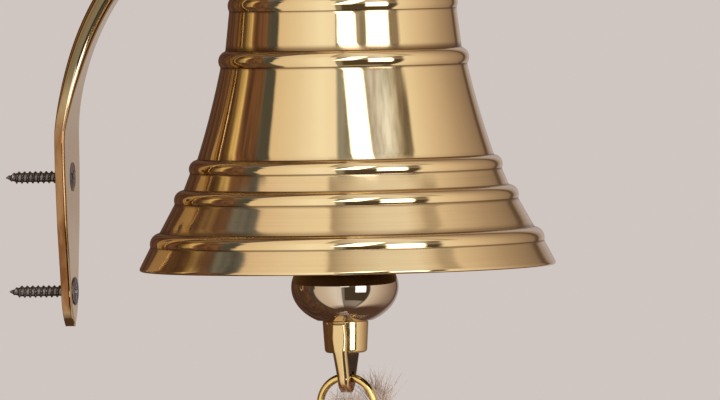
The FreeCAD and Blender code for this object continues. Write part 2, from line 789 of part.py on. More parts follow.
def tube(route, radius):
    """A tube along straight runs joined by tangent arcs as large as the runs allow."""
    points = [Vector(*point) for point in route]
    edges, start = [], points[0]
    for before, corner, after in zip(points, points[1:], points[2:]):
        to_corner, from_corner = corner - before, after - corner
        reach = 0.45 * min(to_corner.Length, from_corner.Length)
        turn = to_corner.getAngle(from_corner)
        bend = reach / math.tan(turn / 2)
        print(f"bend radius {bend:.1f} mm, turn {math.degrees(turn):.1f} degrees")
        enter = corner - to_corner.normalize() * reach
        leave = corner + from_corner.normalize() * reach
        inward = (enter + leave) * 0.5 - corner
        to_centre = math.hypot(bend, reach)
        middle = corner + inward.normalize() * (to_centre - bend)
        edges.append(Part.LineSegment(start, enter).toShape())
        edges.append(Part.Arc(enter, middle, leave).toShape())
        start = leave
    edges.append(Part.LineSegment(start, points[-1]).toShape())
    return sweep(Part.Wire(edges), radius)


def sweep(path, radius):
    """A round section swept along a path, with its volume compared with section times length."""
    first = path.OrderedEdges[0]
    direction = first.tangentAt(first.FirstParameter)
    section = Part.Wire([Part.Circle(path.OrderedVertexes[0].Point, direction, radius).toShape()])
    shell = Part.BRepOffsetAPI.MakePipeShell(path)
    shell.add(section)
    shell.build()
    shell.makeSolid()
    solid = shell.shape()
    expected = math.pi * radius ** 2 * path.Length
    print(f"tube length {path.Length:.2f} mm, volume ratio {solid.Volume / expected:.4f}")
    if abs(solid.Volume / expected - 1) > 0.01:
        raise RuntimeError("a tube's volume is not its section times its length")
    return solid


def make_soft(name, shape):
    """A rope solid, hung on the clapper's line."""
    feature = doc.addObject("Part::Feature", name)
    feature.Shape = shape
    return hang_aside(keep(feature, name))


def rope_eye_shape():
    """The rope's bight: over the bottom of the ring and down both sides into the seizing."""
    bend = DIMENSIONS["eye_bend"]
    middle = ring_centre().value - DIMENSIONS["ring_radius"]
    foot = DIMENSIONS["seizing_top"]
    left, right = Vector(0, -bend, middle), Vector(0, bend, middle)
    path = Part.Wire([
        Part.LineSegment(Vector(0, -bend, foot), left).toShape(),
        Part.Arc(left, Vector(0, 0, middle + bend), right).toShape(),
        Part.LineSegment(right, Vector(0, bend, foot)).toShape(),
    ])
    return sweep(path, DIMENSIONS["rope_radius"])


def make_seizing():
    """Twine wound round both legs of the eye: an oblong with round ends."""
    body = new_body("rope_seizing")
    sketch = new_sketch(body, "XY_Plane", "seizing_outline")
    deep = D["rope_radius"] + D["seizing_twine"]
    flat = D["seizing_half"] - deep
    draw(sketch, [(-deep, -flat, deep + ARC_PLAY, 1), (deep, -flat),
                  (deep, flat, deep + ARC_PLAY, 1), (-deep, flat)])
    sketch.AttachmentOffset = Placement(Vector(0, 0, D["seizing_bottom"].value), Rotation())
    bind(sketch, "AttachmentOffset.Base.z", D["seizing_bottom"])
    pad(body, sketch, D["seizing_top"] - D["seizing_bottom"], "seizing")
    return hang_aside(body)


def make_end_knot():
    """Round stopper knot under the hanging rope."""
    knot = doc.addObject("Part::Ellipsoid", "knot_ball")
    bind(knot, "Radius1", D["knot_half_height"])
    bind(knot, "Radius2", D["knot_radius"])
    bind(knot, "Radius3", D["knot_radius"])
    low = ROPE_ROUTE[-1][2]
    trim = doc.addObject("Part::Box", "knot_trim")
    for side in ("Length", "Width"):
        bind(trim, side, D["knot_radius"] * 2)
    height = D["knot_height"]
    bind(trim, "Height", height)
    place(trim, -D["knot_radius"], -D["knot_radius"], height / -2)
    body = doc.addObject("Part::Common", "end_knot")
    body.Base = knot
    body.Tool = trim
    keep(body, "end_knot")
    return place_on_rope(body, low - height.value / 2), low - height.value


def place_on_rope(item, height):
    """Put a round piece on the line of the rope's lower end."""
    across, along, _ = ROPE_ROUTE[-1]
    offset = HANG_ROTATION.multVec(Vector(across, along, 0))
    east, north = aside_spot()
    return place(item, east + offset.x, north + offset.y, Size(height) - D["lip_drop"], HANG_ROTATION)


def make_tassel(top):
    """Frayed end of the rope below the knot."""
    tassel = doc.addObject("Part::Cone", "end_tassel")
    bind(tassel, "Radius1", D["tassel_radius"])
    bind(tassel, "Radius2", D["tassel_neck"])
    bind(tassel, "Height", D["tassel_length"])
    keep(tassel, "end_tassel")
    return place_on_rope(tassel, top - DIMENSIONS["tassel_length"])


def make_lanyard():
    eye = rope_eye_shape()
    make_soft("rope_eye", eye)
    make_seizing()
    make_soft("rope_tail", tube(TAIL_ROUTE, TAIL_RADIUS).cut(eye))
    make_soft("hanging_rope", tube(ROPE_ROUTE, DIMENSIONS["rope_radius"]))
    _, knot_low = make_end_knot()
    make_tassel(knot_low)


# ---------------------------------------------------------------- document

def check_and_write():
    doc.recompute()
    for item in doc.Objects:
        if "Invalid" in item.State or "Error" in item.State:
            raise RuntimeError(f"{item.Label}: {item.State}")
    for item in nodes:
        if item.Shape.isNull() or not item.Shape.isValid():
            raise RuntimeError(f"{item.Label}: its shape is not valid")
    os.makedirs("parts", exist_ok=True)
    for item in nodes:
        item.Shape.exportStep(f"parts/{item.Label}.step")
        print(f"{item.Label}: {len(item.Shape.Solids)} solid, {item.Shape.Volume / 1000:.2f} cm3")


cut_screw_holes(make_bracket())
make_screw("upper_screw", 0.5, ZERO)
make_screw("lower_screw", -0.5, D["screw_proud"])
make_bell()
make_stack()
make_hanger()
make_clevis_pin()
make_split_pin()
make_clapper_rod()
make_clapper_bob()
make_clapper_tail()
make_pull_ring()
make_lanyard()
check_and_write()
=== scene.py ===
import random
from math import acos, asin, atan2, ceil, cos, exp, hypot, pi, radians, sin, sqrt, tan

import bmesh
import bpy
from mathutils import Matrix, Vector


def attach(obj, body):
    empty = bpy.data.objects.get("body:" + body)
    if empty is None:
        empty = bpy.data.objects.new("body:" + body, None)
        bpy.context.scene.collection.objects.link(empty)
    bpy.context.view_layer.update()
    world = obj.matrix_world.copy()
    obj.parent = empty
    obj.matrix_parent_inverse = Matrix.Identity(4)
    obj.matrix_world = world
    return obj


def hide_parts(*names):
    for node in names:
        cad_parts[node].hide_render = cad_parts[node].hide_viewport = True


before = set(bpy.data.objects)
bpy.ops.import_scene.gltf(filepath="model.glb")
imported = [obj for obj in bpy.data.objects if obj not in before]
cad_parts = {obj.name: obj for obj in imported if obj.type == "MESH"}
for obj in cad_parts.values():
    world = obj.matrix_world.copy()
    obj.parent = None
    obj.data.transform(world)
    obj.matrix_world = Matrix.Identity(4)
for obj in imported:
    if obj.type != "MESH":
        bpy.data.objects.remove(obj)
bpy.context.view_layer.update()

MM = 0.001
TINY = 1e-9
ON_AXIS = 1e-4              # a radius below this is a point
SHARP = radians(32)         # edges that turn more than this stay sharp
ROUND = radians(60)         # the same for pieces whose profile is already rounded
SMOOTHING_ROUNDS = 8
random.seed(11)

# -------- places and sizes, in millimetres

REACH = 104.0               # wall to bell axis
LIP_DROP = 13.5             # lip below the origin
HANG_TURN = radians(-8)
SIDE_PLAY = 1.2             # the clapper hangs this far to one side in its fork
ARM_START = 36.0            # height where the bracket's plate turns into its arm
ARM_RADIUS = 96.0

# A space turns millimetres, with heights counted from the bell's lip, into the frame's metres.
WALL_SPACE = Matrix.Scale(MM, 4)
BELL_SPACE = WALL_SPACE @ Matrix.Translation((REACH, 0, -LIP_DROP))
HANG_SPACE = BELL_SPACE @ Matrix.Rotation(HANG_TURN, 4, "Z")
LINE_SPACE = HANG_SPACE @ Matrix.Translation((-SIDE_PLAY, 0, 0))
ACROSS = Matrix.Rotation(pi / 2, 4, "Y")    # turns up to sideways

# -------- camera

CAMERA_AZIMUTH = radians(9.5)
CAMERA_DISTANCE = 3.4
CAMERA_HEIGHT = 0.1075
CAMERA_LENS = 472.0
CAMERA_ROLL = radians(-1.1)
AIM_RIGHT = 0.0049          # of the bell's axis
AIM_HEIGHT = 0.0108

toward_camera = Vector((sin(CAMERA_AZIMUTH), -cos(CAMERA_AZIMUTH), 0))
camera_right = Vector((cos(CAMERA_AZIMUTH), sin(CAMERA_AZIMUTH), 0))
bell_axis = Vector((REACH * MM, 0, 0))


def link(thing):
    bpy.context.collection.objects.link(thing)
    return thing


def make_camera():
    data = bpy.data.cameras.new("camera")
    data.lens = CAMERA_LENS
    data.sensor_width = 36.0
    data.clip_end = 50.0
    camera = link(bpy.data.objects.new("camera", data))
    aim = bell_axis + camera_right * AIM_RIGHT + Vector((0, 0, AIM_HEIGHT))
    camera.location = bell_axis + toward_camera * CAMERA_DISTANCE + Vector((0, 0, CAMERA_HEIGHT))
    looking = (aim - camera.location).to_track_quat("-Z", "Y")
    camera.rotation_mode = "QUATERNION"
    camera.rotation_quaternion = looking @ Matrix.Rotation(CAMERA_ROLL, 3, "Z").to_quaternion()
    bpy.context.scene.camera = camera


make_camera()

# -------- lines in a plane


def arc(start, end, radius, side, step=0.3):
    """Points after start, up to end, on the arc that curves left (side 1) or right (side -1)."""
    across, up = end[0] - start[0], end[1] - start[1]
    chord = hypot(across, up)
    rise = sqrt(max(radius ** 2 - chord ** 2 / 4, 0.0)) * side / chord
    centre = ((start[0] + end[0]) / 2 - up * rise, (start[1] + end[1]) / 2 + across * rise)
    first = atan2(start[1] - centre[1], start[0] - centre[0])
    turn = 2 * asin(min(1.0, chord / 2 / radius)) * side
    count = max(3, round(abs(turn) * radius / step))
    angles = [first + turn * i / count for i in range(1, count + 1)]
    return [(centre[0] + radius * cos(a), centre[1] + radius * sin(a)) for a in angles]


def trace(corners):
    """A line through corners. A corner is (across, up), or (across, up, radius, side) before an arc."""
    points = []
    for corner, following in zip(corners, corners[1:] + corners[:1]):
        points.append(tuple(corner[:2]))
        if len(corner) == 4:
            points += arc(corner[:2], following[:2], corner[2], corner[3])[:-1]
    return points


def thinned(line, closed, max_turn, max_gap):
    """Leave out points where the line runs nearly straight."""
    kept, turned, run = [line[0]], 0.0, 0.0
    for before, here, after in zip(line, line[1:], line[2:] + (line[:1] if closed else [])):
        to_here, onward = here - before, after - here
        if to_here.length < TINY or onward.length < TINY:
            continue
        turned += abs(to_here.angle(onward))
        run += to_here.length
        if turned > max_turn or run + onward.length > max_gap:
            kept.append(here)
            turned, run = 0.0, 0.0
    return kept if closed else kept + [line[-1]]


def softened(points, rounding, closed=True, max_turn=radians(6), max_gap=3.0):
    """Round the corners of a line and leave few points on its straight stretches."""
    corners = [Vector(p) for p in points]
    if closed:
        corners.append(corners[0])
    line = []
    for start, end in zip(corners, corners[1:]):
        count = max(1, ceil((end - start).length / (rounding / 2.5)))
        line += [start.lerp(end, i / count) for i in range(count)]
    if not closed:
        line.append(corners[-1])
    for _ in range(SMOOTHING_ROUNDS):
        if closed:
            line = [(line[i - 1] + line[i] * 2 + line[(i + 1) % len(line)]) / 4 for i in range(len(line))]
        else:
            middle = [(a + b * 2 + c) / 4 for a, b, c in zip(line, line[1:], line[2:])]
            line = [line[0]] + middle + [line[-1]]
    return thinned(line, closed, max_turn, max_gap)


# -------- meshes


def make_object(name, verts, faces, space, uvs=None):
    """A mesh whose points are given in a space; uvs has one pair for each point."""
    mesh = bpy.data.meshes.new(name)
    mesh.from_pydata([space @ Vector(v) for v in verts], [], faces)
    if uvs:
        layer = mesh.uv_layers.new(name="UVMap")
        for loop in mesh.loops:
            layer.data[loop.index].uv = uvs[loop.vertex_index]
    return link(bpy.data.objects.new(name, mesh))


def face_outward(piece):
    """Merge points that coincide and turn every face outward."""
    work = bmesh.new()
    work.from_mesh(piece.data)
    bmesh.ops.remove_doubles(work, verts=work.verts, dist=1e-8)
    bmesh.ops.recalc_face_normals(work, faces=work.faces)
    work.to_mesh(piece.data)
    work.free()
    return piece


def circle(radius, height, segments, turn=0.0):
    """A ring of points round the vertical axis."""
    angles = [2 * pi * i / segments + turn for i in range(segments)]
    return [(radius * cos(a), radius * sin(a), height) for a in angles]


def lathe(name, profile, space, segments=96, closed=True):
    """Turn a profile of (radius, height) about the space's vertical axis."""
    verts, faces, rings = [], [], []
    for radius, height in profile:
        if radius < ON_AXIS:
            rings.append([len(verts)] * segments)
            verts.append((0.0, 0.0, height))
        else:
            rings.append(list(range(len(verts), len(verts) + segments)))
            verts += circle(radius, height, segments)
    for low, high in list(zip(rings, rings[1:])) + ([(rings[-1], rings[0])] if closed else []):
        for i in range(segments):
            j = (i + 1) % segments
            face = list(dict.fromkeys([low[i], low[j], high[j], high[i]]))
            if len(face) > 2:
                faces.append(face)
    return face_outward(make_object(name, verts, faces, space))


def turned(name, corners, space, segments=64, rounding=0.2):
    """A solid turned about the vertical axis from corners that start and end on it."""
    return lathe(name, softened(trace(corners), rounding, closed=False), space, segments, closed=False)


def rod(name, radius, low, high, space, segments=64):
    """A round cutter along the space's vertical axis."""
    return lathe(name, [(0, low), (radius, low), (radius, high), (0, high)], space, segments, closed=False)


def skin(rings, count, looped=False):
    """Faces that join rings of points in a row, with both ends capped unless the row is looped."""
    faces = []
    for ring in range(rings if looped else rings - 1):
        low, high = ring * count, (ring + 1) % rings * count
        for i in range(count):
            j = (i + 1) % count
            faces.append([low + i, low + j, high + j, high + i])
    if not looped:
        faces.append(list(range(count))[::-1])
        faces.append(list(range((rings - 1) * count, rings * count)))
    return faces


def loft(name, sections, space):
    """Join rings of points, all with the same count, into one skin."""
    verts = [point for section in sections for point in section]
    return face_outward(make_object(name, verts, skin(len(sections), len(sections[0])), space))


def frames_along(path, closed=False):
    """A direction, a side and an up vector at each point, turning as little as possible."""
    count = len(path)
    tangents = []
    for i in range(count):
        before = path[i - 1] if closed or i else path[0]
        after = path[(i + 1) % count] if closed or i < count - 1 else path[-1]
        tangents.append((after - before).normalized())
    side = tangents[0].orthogonal().normalized()
    result = []
    for tangent in tangents:
        side = (side - tangent * side.dot(tangent)).normalized()
        result.append((tangent, side, tangent.cross(side)))
    return result


def tube_parts(path, radius, sides, looped=False):
    """Vertices, faces and UVs of a round tube; radius may be a function of the share of the length."""
    verts, uvs = [], []
    length = 0.0
    for i, (point, (_, side, up)) in enumerate(zip(path, frames_along(path, looped))):
        length += (point - path[i - 1]).length if i else 0.0
        r = radius(i / (len(path) - 1)) if callable(radius) else radius
        for k in range(sides):
            angle = 2 * pi * k / sides
            verts.append(point + (side * cos(angle) + up * sin(angle)) * r)
            uvs.append((length, k / sides))
    return verts, skin(len(path), sides, looped), uvs


def tubes(name, runs, space, sides):
    """One object of several round tubes. A run is (path, radius)."""
    verts, faces, uvs = [], [], []
    for path, radius in runs:
        more_verts, more_faces, more_uvs = tube_parts(path, radius, sides)
        faces += [[i + len(verts) for i in face] for face in more_faces]
        verts += more_verts
        uvs += more_uvs
    return make_object(name, verts, faces, space, uvs)


def block(name, low, high, space):
    """A box between two corners, used as a cutter."""
    spots = [(x, y, z) for z in (low[2], high[2]) for y in (low[1], high[1]) for x in (low[0], high[0])]
    faces = [(0, 2, 3, 1), (4, 5, 7, 6), (0, 1, 5, 4), (2, 6, 7, 3), (0, 4, 6, 2), (1, 3, 7, 5)]
    return make_object(name, spots, [list(face) for face in faces], space)


def settle(piece):
    """Apply the piece's modifiers."""
    graph = bpy.context.evaluated_depsgraph_get()
    mesh = bpy.data.meshes.new_from_object(piece.evaluated_get(graph))
    piece.modifiers.clear()
    piece.data = mesh


def combine(piece, tools, operation):
    """Boolean the tools into the piece, one after another."""
    for tool in tools:
        modifier = piece.modifiers.new("boolean", "BOOLEAN")
        modifier.operation = operation
        modifier.solver = "EXACT"
        modifier.object = tool
        settle(piece)
        bpy.data.objects.remove(tool)


def bevel(piece, width):
    """Round the sharp edges."""
    modifier = piece.modifiers.new("bevel", "BEVEL")
    modifier.width = width * MM
    modifier.segments = 3
    modifier.limit_method = "ANGLE"
    modifier.angle_limit = SHARP
    modifier.harden_normals = False
    settle(piece)


def weigh_normals(piece):
    """Let the broad faces lead the shading beside a rounded edge."""
    modifier = piece.modifiers.new("weighted", "WEIGHTED_NORMAL")
    modifier.keep_sharp = True


def finish_piece(piece, material, body, nodes, smooth_angle=SHARP):
    """Shade, mark worn and grimy places, and hang the piece on its body."""
    mesh = piece.data
    mesh.materials.clear()
    mesh.materials.append(material)
    mesh.shade_smooth()
    mesh.set_sharp_from_angle(angle=smooth_angle)
    mark_curvature(mesh)
    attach(piece, body)
    if nodes:
        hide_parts(*nodes)


def mark_curvature(mesh):
    """Store how convex (above 0) or hollow (below 0) the surface is at each vertex."""
    total = [0.0] * len(mesh.vertices)
    count = [0] * len(mesh.vertices)
    for edge in mesh.edges:
        a, b = (mesh.vertices[i] for i in edge.vertices)
        run = b.co - a.co
        if run.length < TINY:
            continue
        bend = (b.normal - a.normal).dot(run) / run.length_squared * MM
        for i in edge.vertices:
            total[i] += bend
            count[i] += 1
    values = [max(-1.0, min(1.0, t / max(c, 1))) for t, c in zip(total, count)]
    layer = mesh.attributes.new("curvature", "FLOAT", "POINT")
    layer.data.foreach_set("value", values)


# -------- node trees


class Nodes:
    """Short calls for building a node tree."""

    def __init__(self, tree):
        self.tree = tree

    def add(self, kind, inputs=(), **settings):
        node = self.tree.nodes.new("ShaderNode" + kind)
        for key, value in settings.items():
            setattr(node, key, value)
        self.feed(node, dict(inputs))
        return node

    def feed(self, node, inputs):
        """Link or set a node's inputs; a colour may leave out its alpha."""
        for key, value in inputs.items():
            socket = node.inputs[key]
            if isinstance(value, bpy.types.NodeSocket):
                self.tree.links.new(value, socket)
            elif socket.type == "RGBA":
                socket.default_value = (*value, 1.0)
            else:
                socket.default_value = value

    def math(self, operation, first, second=0.0):
        return self.add("Math", {0: first, 1: second}, operation=operation).outputs[0]

    def times(self, first, second):
        return self.math("MULTIPLY", first, second)

    def plus(self, first, second):
        return self.math("ADD", first, second)

    def minus(self, first, second):
        return self.math("SUBTRACT", first, second)

    def size(self, value):
        return self.math("ABSOLUTE", value)

    def vector(self, operation, inputs):
        outputs = self.add("VectorMath", inputs, operation=operation).outputs
        return outputs["Value" if operation == "DOT_PRODUCT" else 0]

    def split(self, vector):
        return self.add("SeparateXYZ", {"Vector": vector}).outputs[:]

    def remap(self, value, low, high, to_low=0.0, to_high=1.0, kind="SMOOTHSTEP"):
        return self.add("MapRange", {"Value": value, "From Min": low, "From Max": high, "To Min": to_low,
                                     "To Max": to_high}, interpolation_type=kind).outputs["Result"]

    def mix(self, share, first, second, blend="MIX"):
        return self.add("Mix", {0: share, 6: first, 7: second}, data_type="RGBA",
                        blend_type=blend).outputs[2]

    def noise(self, vector, scale, detail=3.0, roughness=0.55):
        return self.add("TexNoise", {"Vector": vector, "Scale": scale, "Detail": detail,
                                     "Roughness": roughness}).outputs["Fac"]

    def grain(self, vector, stretch, detail=3.0, roughness=0.55):
        """Noise that is finer along some axes than along others."""
        drawn_out = self.add("Mapping", {"Vector": vector, "Scale": stretch})
        return self.noise(drawn_out.outputs["Vector"], 1.0, detail, roughness)

    def ramp(self, value, stops):
        node = self.add("ValToRGB", {"Fac": value})
        elements = node.color_ramp.elements
        for i, (place, colour) in enumerate(stops):
            element = elements[i] if i < len(elements) else elements.new(place)
            element.position = place
            element.color = (*colour, 1.0)
        return node.outputs["Color"]

    def bump(self, height):
        return self.add("Bump", {"Height": height, "Distance": 1.0, "Strength": 1.0}).outputs["Normal"]

    def coords(self, kind="Object"):
        return self.add("TexCoord").outputs[kind]

    def curvature(self):
        return self.add("Attribute", attribute_name="curvature").outputs["Fac"]


def new_material(name):
    material = bpy.data.materials.new(name)
    material.use_nodes = True
    return material, Nodes(material.node_tree), material.node_tree.nodes["Principled BSDF"]


def shade(colour, factor):
    return tuple(c * factor for c in colour)


def brass(name, colour, tarnish, rough, grain=1.0, spun=(), inside_rough=None, wear_and_painted_light=None):
    """Polished brass: fine scratches, smudges, tarnish in the hollows and bright worn edges.
    spun lists (low, high) heights above the lip where fine turned lines remain.
    The last argument, a tone function for one piece, darkens or brightens some of its faces with wear,
    painted shade and painted reflections."""
    material, nodes, shader = new_material(name)
    coords = nodes.coords()
    curvature = nodes.curvature()
    hollow = nodes.remap(curvature, -0.04, -0.4)
    edge = nodes.remap(curvature, 0.35, 1.0)
    clouds = nodes.noise(coords, 38.0, 4.0)
    fine = nodes.noise(coords, 420.0)
    tone = nodes.mix(nodes.remap(clouds, 0.35, 0.75, 0.0, 0.45), colour, shade(colour, 0.93))
    tone = nodes.mix(nodes.times(hollow, 0.9), tone, tarnish)
    tone = nodes.mix(nodes.times(edge, 0.35), tone, shade(colour, 1.08))
    roughness = nodes.remap(nodes.times(clouds, fine), 0.15, 0.45, rough * 0.75, rough * 1.5)
    roughness = nodes.plus(roughness, nodes.times(hollow, 0.16))
    scratches = nodes.grain(coords, (900.0, 900.0, 60.0), 2.0)
    height = nodes.times(scratches, 0.0000012 * grain)
    height = nodes.plus(height, nodes.times(nodes.noise(coords, 90.0, 1.0), 0.00002 * grain))
    if spun:
        up = nodes.split(coords)[2]
        lines = nodes.grain(coords, (14.0, 14.0, 1500.0), 3.0, 0.7)
        mask = None
        for low, high in spun:
            middle, half = (low + high) / 2 - LIP_DROP, (high - low) / 2
            away = nodes.size(nodes.minus(up, middle * MM))
            band = nodes.remap(away, half * MM, (half - 0.6) * MM)
            mask = band if mask is None else nodes.plus(mask, band)
        height = nodes.plus(height, nodes.times(nodes.times(lines, mask), 0.0000045))
        roughness = nodes.plus(roughness, nodes.times(mask, 0.045))
        streaks = nodes.times(nodes.remap(lines, 0.35, 0.68), nodes.times(mask, 0.5))
        tone = nodes.mix(streaks, tone, shade(colour, 0.88))
    if inside_rough:
        from_axis = nodes.vector("SUBTRACT", {0: coords, 1: (REACH * MM, 0, 0)})
        flat = nodes.vector("MULTIPLY", {0: from_axis, 1: (1, 1, 0)})
        normal = nodes.add("NewGeometry").outputs["Normal"]
        inner = nodes.remap(nodes.vector("DOT_PRODUCT", {0: flat, 1: normal}), 0.0, -0.004)
        roughness = nodes.math("MAXIMUM", roughness, nodes.times(inner, inside_rough))
        tone = nodes.mix(nodes.times(inner, 0.95), tone, (0.17, 0.105, 0.05))
    # one piece's own tone: wear, painted shade and painted reflections
    if wear_and_painted_light:
        tone = wear_and_painted_light(nodes, tone)
    nodes.feed(shader, {"Base Color": tone, "Metallic": 1.0, "Roughness": roughness,
                        "Normal": nodes.bump(height)})
    return material


def bracket_tone_and_painted_reflections(nodes, tone):
    """The bracket carries painted reflections: round the arm's section, olive brown bands that are warmer
    toward the back, and a painted highlight along its front corners. The plate is brighter at its lower
    end, and its narrow sides are coppery against the wall."""
    coords, normal = nodes.coords(), nodes.coords("Normal")
    x, _, z = nodes.split(coords)
    above = nodes.math("MAXIMUM", nodes.minus(z, ARM_START * MM), 0.0)
    centre = nodes.add("CombineXYZ", {"X": nodes.minus(x, ARM_RADIUS * MM), "Z": above})
    outward = nodes.vector("NORMALIZE", {0: centre.outputs[0]})
    behind = nodes.vector("DOT_PRODUCT", {0: outward, 1: normal})
    side = nodes.size(nodes.split(normal)[1])
    round_share = nodes.math("DIVIDE", nodes.math("ARCTAN2", side, behind), pi)
    # painted reflections round the arm's section: reflected wood and dark gaps, and a painted highlight
    # from 0.61 to 0.69 along the front corner
    painted_reflection_tone = nodes.ramp(round_share, [
        (0.00, (0.52, 0.37, 0.19)), (0.14, (0.30, 0.20, 0.10)), (0.22, (0.52, 0.33, 0.14)),
        (0.36, (0.44, 0.29, 0.13)), (0.43, (0.19, 0.14, 0.07)), (0.56, (0.22, 0.165, 0.09)),
        (0.61, (0.84, 0.70, 0.46)), (0.69, (0.86, 0.72, 0.48)), (0.74, (0.34, 0.215, 0.11)),
        (0.85, (0.46, 0.33, 0.21)), (0.95, (0.82, 0.66, 0.40)),
    ])
    arm = nodes.remap(z, 0.030, 0.060)
    plate = nodes.minus(1.0, arm)
    kept = nodes.remap(z, 0.10, 0.15, 1.0, 0.55)
    tone = nodes.mix(nodes.times(arm, kept), tone, painted_reflection_tone)
    tone = nodes.mix(nodes.remap(z, 0.014, -0.008), tone, (0.97, 0.81, 0.51))
    smears = nodes.grain(coords, (260.0, 260.0, 45.0))
    copper = nodes.mix(nodes.remap(smears, 0.35, 0.68), (0.20, 0.075, 0.026), (0.36, 0.19, 0.08))
    # painted shade: the plate's rounded rim is darkened so that it reflects dully
    rim = nodes.times(nodes.remap(side, 0.25, 0.45), plate)
    tone = nodes.mix(nodes.times(rim, 0.8), tone, (0.47, 0.34, 0.19))
    wall = nodes.times(nodes.remap(side, 0.70, 0.96), plate)
    return nodes.mix(nodes.times(wall, nodes.remap(x, 0.0048, 0.0030)), tone, copper)


def tail_wear_and_painted_shade(nodes, tone):
    """The lug's broad faces below the collar carry painted shade, and its tip is rubbed coppery."""
    face = nodes.remap(nodes.size(nodes.split(nodes.coords("Normal"))[0]), 0.93, 0.98)
    z = nodes.split(nodes.coords())[2]
    below = nodes.remap(z, -0.0430, -0.0445)
    # painted shade on the lug's broad faces under the collar
    tone = nodes.mix(nodes.times(face, below), tone, (0.13, 0.085, 0.045))
    return nodes.mix(nodes.remap(z, -0.0530, -0.0565, 0.0, 0.75), tone, (0.62, 0.33, 0.18))


def steel(name, colour, rough):
    """Plated or darkened steel with fine grain and rubbed edges."""
    material, nodes, shader = new_material(name)
    coords = nodes.coords()
    clouds = nodes.noise(coords, 300.0, 4.0)
    edge = nodes.remap(nodes.curvature(), 0.3, 1.0, 0.0, 0.6)
    tone = nodes.mix(nodes.remap(clouds, 0.35, 0.7), colour, shade(colour, 0.68))
    tone = nodes.mix(edge, tone, shade(colour, 1.6))
    height = nodes.times(nodes.grain(coords, (3000.0, 3000.0, 700.0), 2.0), 0.0000006)
    nodes.feed(shader, {"Base Color": tone, "Metallic": 1.0, "Normal": nodes.bump(height),
                        "Roughness": nodes.remap(clouds, 0.3, 0.7, rough * 0.8, rough * 1.3)})
    return material


def fibre_board(name, colour):
    """Pressed fibre: matt, speckled, slightly layered."""
    material, nodes, shader = new_material(name)
    coords = nodes.coords()
    specks = nodes.noise(coords, 1400.0, 4.0, 0.7)
    layers = nodes.grain(coords, (40.0, 40.0, 2500.0))
    tone = nodes.mix(nodes.remap(specks, 0.4, 0.65), colour, shade(colour, 1.7))
    tone = nodes.mix(nodes.remap(layers, 0.4, 0.6, 0.0, 0.4), tone, shade(colour, 0.6))
    nodes.feed(shader, {"Base Color": tone, "Roughness": 0.62,
                        "Normal": nodes.bump(nodes.times(specks, 0.00003))})
    return material


def rope_fibre(name, colour, shadow, yarns, twist, relief_share=1.0):
    """Twisted yarn. A tube's UVs hold the length along it in mm and the share round it."""
    material, nodes, shader = new_material(name)
    along, around, _ = nodes.split(nodes.coords("UV"))
    turns = nodes.plus(nodes.times(around, yarns), nodes.times(along, twist))
    ridge = nodes.size(nodes.math("SINE", nodes.times(turns, pi)))
    coords = nodes.coords()
    fuzz = nodes.noise(coords, 2600.0, 3.0, 0.7)
    patches = nodes.noise(coords, 160.0)
    depth = nodes.times(ridge, nodes.remap(fuzz, 0.25, 0.6, 0.6, 1.0))
    tone = nodes.mix(nodes.remap(depth, 0.05, 0.7), shadow, colour)
    tone = nodes.mix(nodes.remap(patches, 0.4, 0.7, 0.0, 0.5), tone, shade(colour, 0.72))
    relief = nodes.plus(nodes.times(ridge, 0.00016), nodes.times(fuzz, 0.00012))
    nodes.feed(shader, {"Base Color": tone, "Roughness": 0.85, "Sheen Weight": 0.35,
                        "Sheen Roughness": 0.5,
                        "Normal": nodes.bump(nodes.times(relief, relief_share))})
    return material


BRASS = (0.878, 0.69, 0.39)
BELL_SPUN = [(0.8, 8.9), (13.5, 24.3), (28.8, 35.2)]
bell_brass = brass("bell_brass", BRASS, (0.22, 0.125, 0.055), 0.05, spun=BELL_SPUN, inside_rough=0.42)
OLD_BRASS = (0.30, 0.16, 0.06)
CAST = (0.82, 0.62, 0.32)
bracket_brass = brass("bracket_brass", (0.82, 0.64, 0.35), OLD_BRASS, 0.10, grain=3.0, wear_and_painted_light=bracket_tone_and_painted_reflections)
hardware_brass = brass("hardware_brass", CAST, OLD_BRASS, 0.12, grain=1.5)
tail_brass = brass("tail_brass", CAST, OLD_BRASS, 0.12, grain=1.5, wear_and_painted_light=tail_wear_and_painted_shade)
ring_brass = brass("ring_brass", (0.90, 0.66, 0.24), (0.42, 0.22, 0.05), 0.19, grain=1.5)
bob_bronze = brass("bob_bronze", (0.63, 0.515, 0.39), (0.20, 0.10, 0.05), 0.045)
screw_steel = steel("screw_steel", (0.21, 0.19, 0.185), 0.34)
spring_steel = steel("spring_steel", (0.55, 0.54, 0.53), 0.22)
red_fibre = fibre_board("red_fibre", (0.16, 0.045, 0.03))
cotton_rope = rope_fibre("cotton_rope", (0.80, 0.76, 0.71), (0.34, 0.29, 0.24), 7.0, 0.30)
loose_fibre = rope_fibre("loose_fibre", (0.86, 0.75, 0.66), (0.60, 0.44, 0.33), 3.0, 0.8, 0.04)
waxed_twine = rope_fibre("waxed_twine", (0.66, 0.56, 0.42), (0.24, 0.17, 0.10), 3.0, 1.4)

# -------- lanyard rope

ROPE_RADIUS = 5.0
TAIL_RADIUS = 2.3
TWINE_RADIUS = 0.62
SEIZING_TOP = -70.0
SEIZING_BOTTOM = -83.0
EYE_BEND = 6.75
RING_CENTRE = -49.5
RING_RADIUS = 10.1
RING_WIRE = 1.4
RING_JOINT = 148.0          # degrees round the ring
TURN = 6.28                 # one turn, for random phases

# The hanging rope's route: sideways, forwards and height above the lip, below the clapper's line.
ROPE_ROUTE = [
    (0.0, 0.0, -83.0),
    (0.0, 0.0, -118.0),
    (1.9, -0.4, -159.0),
    (1.0, 0.6, -201.0),
    (1.0, 0.6, -240.0),
]
TAIL_ROUTE = [(1.0, 8.0, -67.0), (5.8, 9.4, -59.5), (9.8, 10.2, -51.0)]
